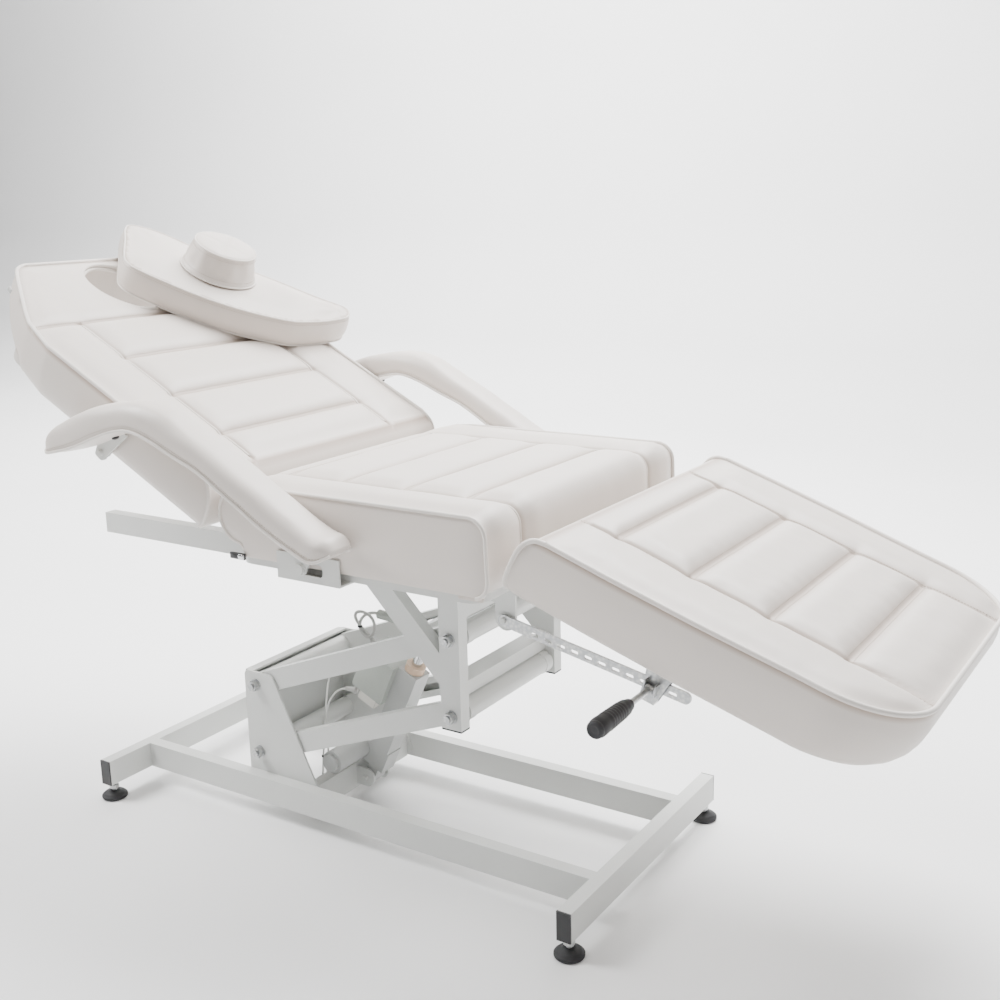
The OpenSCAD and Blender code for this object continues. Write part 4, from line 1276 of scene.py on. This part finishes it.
MOTOR_LEAD = [(458, -20, 296), (444, -24, 297), (431, -34, 292), (424, -48, 278), (421, -58, 258),
              (420, -64, 232), (419, -68, 204), (420, -70, 176), (422, -72, 148), (423, -73, 120),
              (421, -74, 94), (417, -74, 72), (412, -73, 56), (406, -70, 47), (400, -66, 47),
              (396, -63, 56), (396, -61, 72), (398, -61, 94), (401, -60, 120), (403, -58, 148),
              (405, -56, 176), (409, -52, 200), (416, -46, 220), (428, -38, 234), (444, -31, 238),
              (459, -26, 236)]
SENSOR_LEAD = [(492.6, -1, 326.6), (486, -2, 337), (476, -6, 350), (466, -11, 364), (462, -17, 378),
               (466, -22, 390), (477, -25, 397), (491, -25, 397), (502, -22, 390), (506, -18, 378),
               (504, -15, 365), (498, -12, 353), (489, -10, 345), (479, -9, 343), (470, -9, 349),
               (466, -11, 360), (467, -10, 372), (475, -9, 383), (487, -9, 390), (499, -8, 393),
               (511, -8, 393)]


SMALL_TIE = [(1.7, -1.6), (3.0, -1.6), (3.2, 0), (3.0, 1.6), (1.7, 1.6)]
LARGE_TIE = [(2.9, -2), (4.4, -2), (4.7, 0), (4.4, 2), (2.9, 2)]
GLAND = [(6.5, -4), (6.8, 0), (6.2, 4), (5.4, 5), (5.2, 9), (4.2, 13), (3.6, 18), (3.2, 20)]


def make_lead(name, route, radius, material, node):
    """One lead as a round bevelled curve through its route."""
    data = bpy.data.curves.new(name, "CURVE")
    data.dimensions = "3D"
    data.bevel_depth = radius * MM
    data.bevel_resolution = 3
    data.use_fill_caps = True
    spline = data.splines.new("BEZIER")
    spline.bezier_points.add(len(route) - 1)
    for point, spot in zip(spline.bezier_points, route):
        point.co = at(*spot)
        point.handle_left_type = point.handle_right_type = "AUTO"
    data.materials.append(material)
    lead = bpy.data.objects.new(name, data)
    bpy.context.scene.collection.objects.link(lead)
    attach(lead, "actuator")
    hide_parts(node)
    return lead


def make_leads():
    """The actuator's two leads, with their ties and glands."""
    ties = []
    for spot in ((398.5, -61, 100), (421.5, -74, 98)):
        ties.append(lathe(SMALL_TIE, spot, (0.1, 0, 1), 18))
    ties.append(lathe(LARGE_TIE, (466, -11.2, 362), (0, 0.1, 1), 18))
    points, faces = join_meshes(ties)
    mesh_piece("lead_ties", WORLD.world(points), faces, BLACK, "actuator")
    motor = make_lead("motor_lead_sheath", MOTOR_LEAD, 1.75, WHITE_CABLE, "motor_lead")
    sensor = make_lead("sensor_lead_sheath", SENSOR_LEAD, 3.0, GREY_CABLE, "sensor_lead")
    glands = []
    for start, following in ((MOTOR_LEAD[0], MOTOR_LEAD[1]), (MOTOR_LEAD[-1], MOTOR_LEAD[-2]),
                             (SENSOR_LEAD[0], SENSOR_LEAD[1])):
        direction = np.array(following, float) - np.array(start, float)
        glands.append(lathe(GLAND, start, direction, 24))
    points, faces = join_meshes(glands)
    mesh_piece("lead_glands", WORLD.world(points), faces, GREY_CABLE, "actuator")


make_pillow()
make_plug()
make_armrest(-1, "near_armrest", "near_armrest_pad")
make_armrest(1, "far_armrest", "far_armrest_pad")
make_feet()
make_grip()
make_trim()
make_leads()


# ---- Floor and light -----------------------------------------------------------------

SOFTBOXES = (                                # name, place, aim, width in metres, watts
    ("key_softbox", (-2.6, -1.2, 3.2), (0, 0, 0.6), 1.5, 230),
    ("fill_softbox", (2.9, -2.6, 1.6), (0, 0, 0.5), 2.2, 26),
    ("top_softbox", (0.3, 1.4, 3.4), (0, 0, 0.4), 2.2, 330),
    ("backdrop_wash", (-3.0, 2.4, 4.8), (-3.4, 6.1, 2.0), 5.0, 1000),
)


def make_floor():
    """A pale floor that curves up into a wall behind the bed."""
    m = Nodes("studio_floor")
    tone = m.ramp(m.noise(1.2, 2.0), 0.0, 1.0, 0.3, 0.7)
    m.link(m.blend(tone, (0.93, 0.93, 0.93), (0.955, 0.955, 0.955)), m.shader.inputs["Base Color"])
    m.set(Roughness=0.55, Specular_IOR_Level=0.25)
    data = bpy.data.meshes.new("studio_floor")
    size = 14.0
    profile = [(-size, 0.0), (4.0, 0.0), (5.2, 0.25), (5.9, 1.0), (6.1, 2.2), (6.1, 8.0)]
    points, faces = [], []
    for depth, height in profile:
        points += [(-size, depth, height), (size, depth, height)]
    for i in range(len(profile) - 1):
        faces.append((2 * i, 2 * i + 1, 2 * i + 3, 2 * i + 2))
    data.from_pydata(points, [], faces)
    data.shade_smooth()
    data.materials.append(m.material)
    floor = bpy.data.objects.new("studio_floor", data)
    bpy.context.scene.collection.objects.link(floor)
    return floor


def make_lamps():
    """Soft square lights round the bed."""
    lamps = []
    for name, spot, aim, wide, power in SOFTBOXES:
        light = bpy.data.lights.new(name, "AREA")
        light.shape = "SQUARE"
        light.size = wide
        light.energy = power
        lamp = bpy.data.objects.new(name, light)
        lamp.location = spot
        lamp.rotation_euler = (Vector(aim) - Vector(spot)).to_track_quat("-Z", "Y").to_euler()
        bpy.context.scene.collection.objects.link(lamp)
        lamps.append(lamp)
    return lamps


def make_world():
    """A faint even light from all sides."""
    world = bpy.data.worlds.new("studio")
    world.use_nodes = True
    sky = world.node_tree.nodes["Background"]
    sky.inputs["Color"].default_value = (1.0, 1.0, 1.0, 1.0)
    sky.inputs["Strength"].default_value = 0.27
    bpy.context.scene.world = world


make_world()
make_floor()
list(make_lamps())
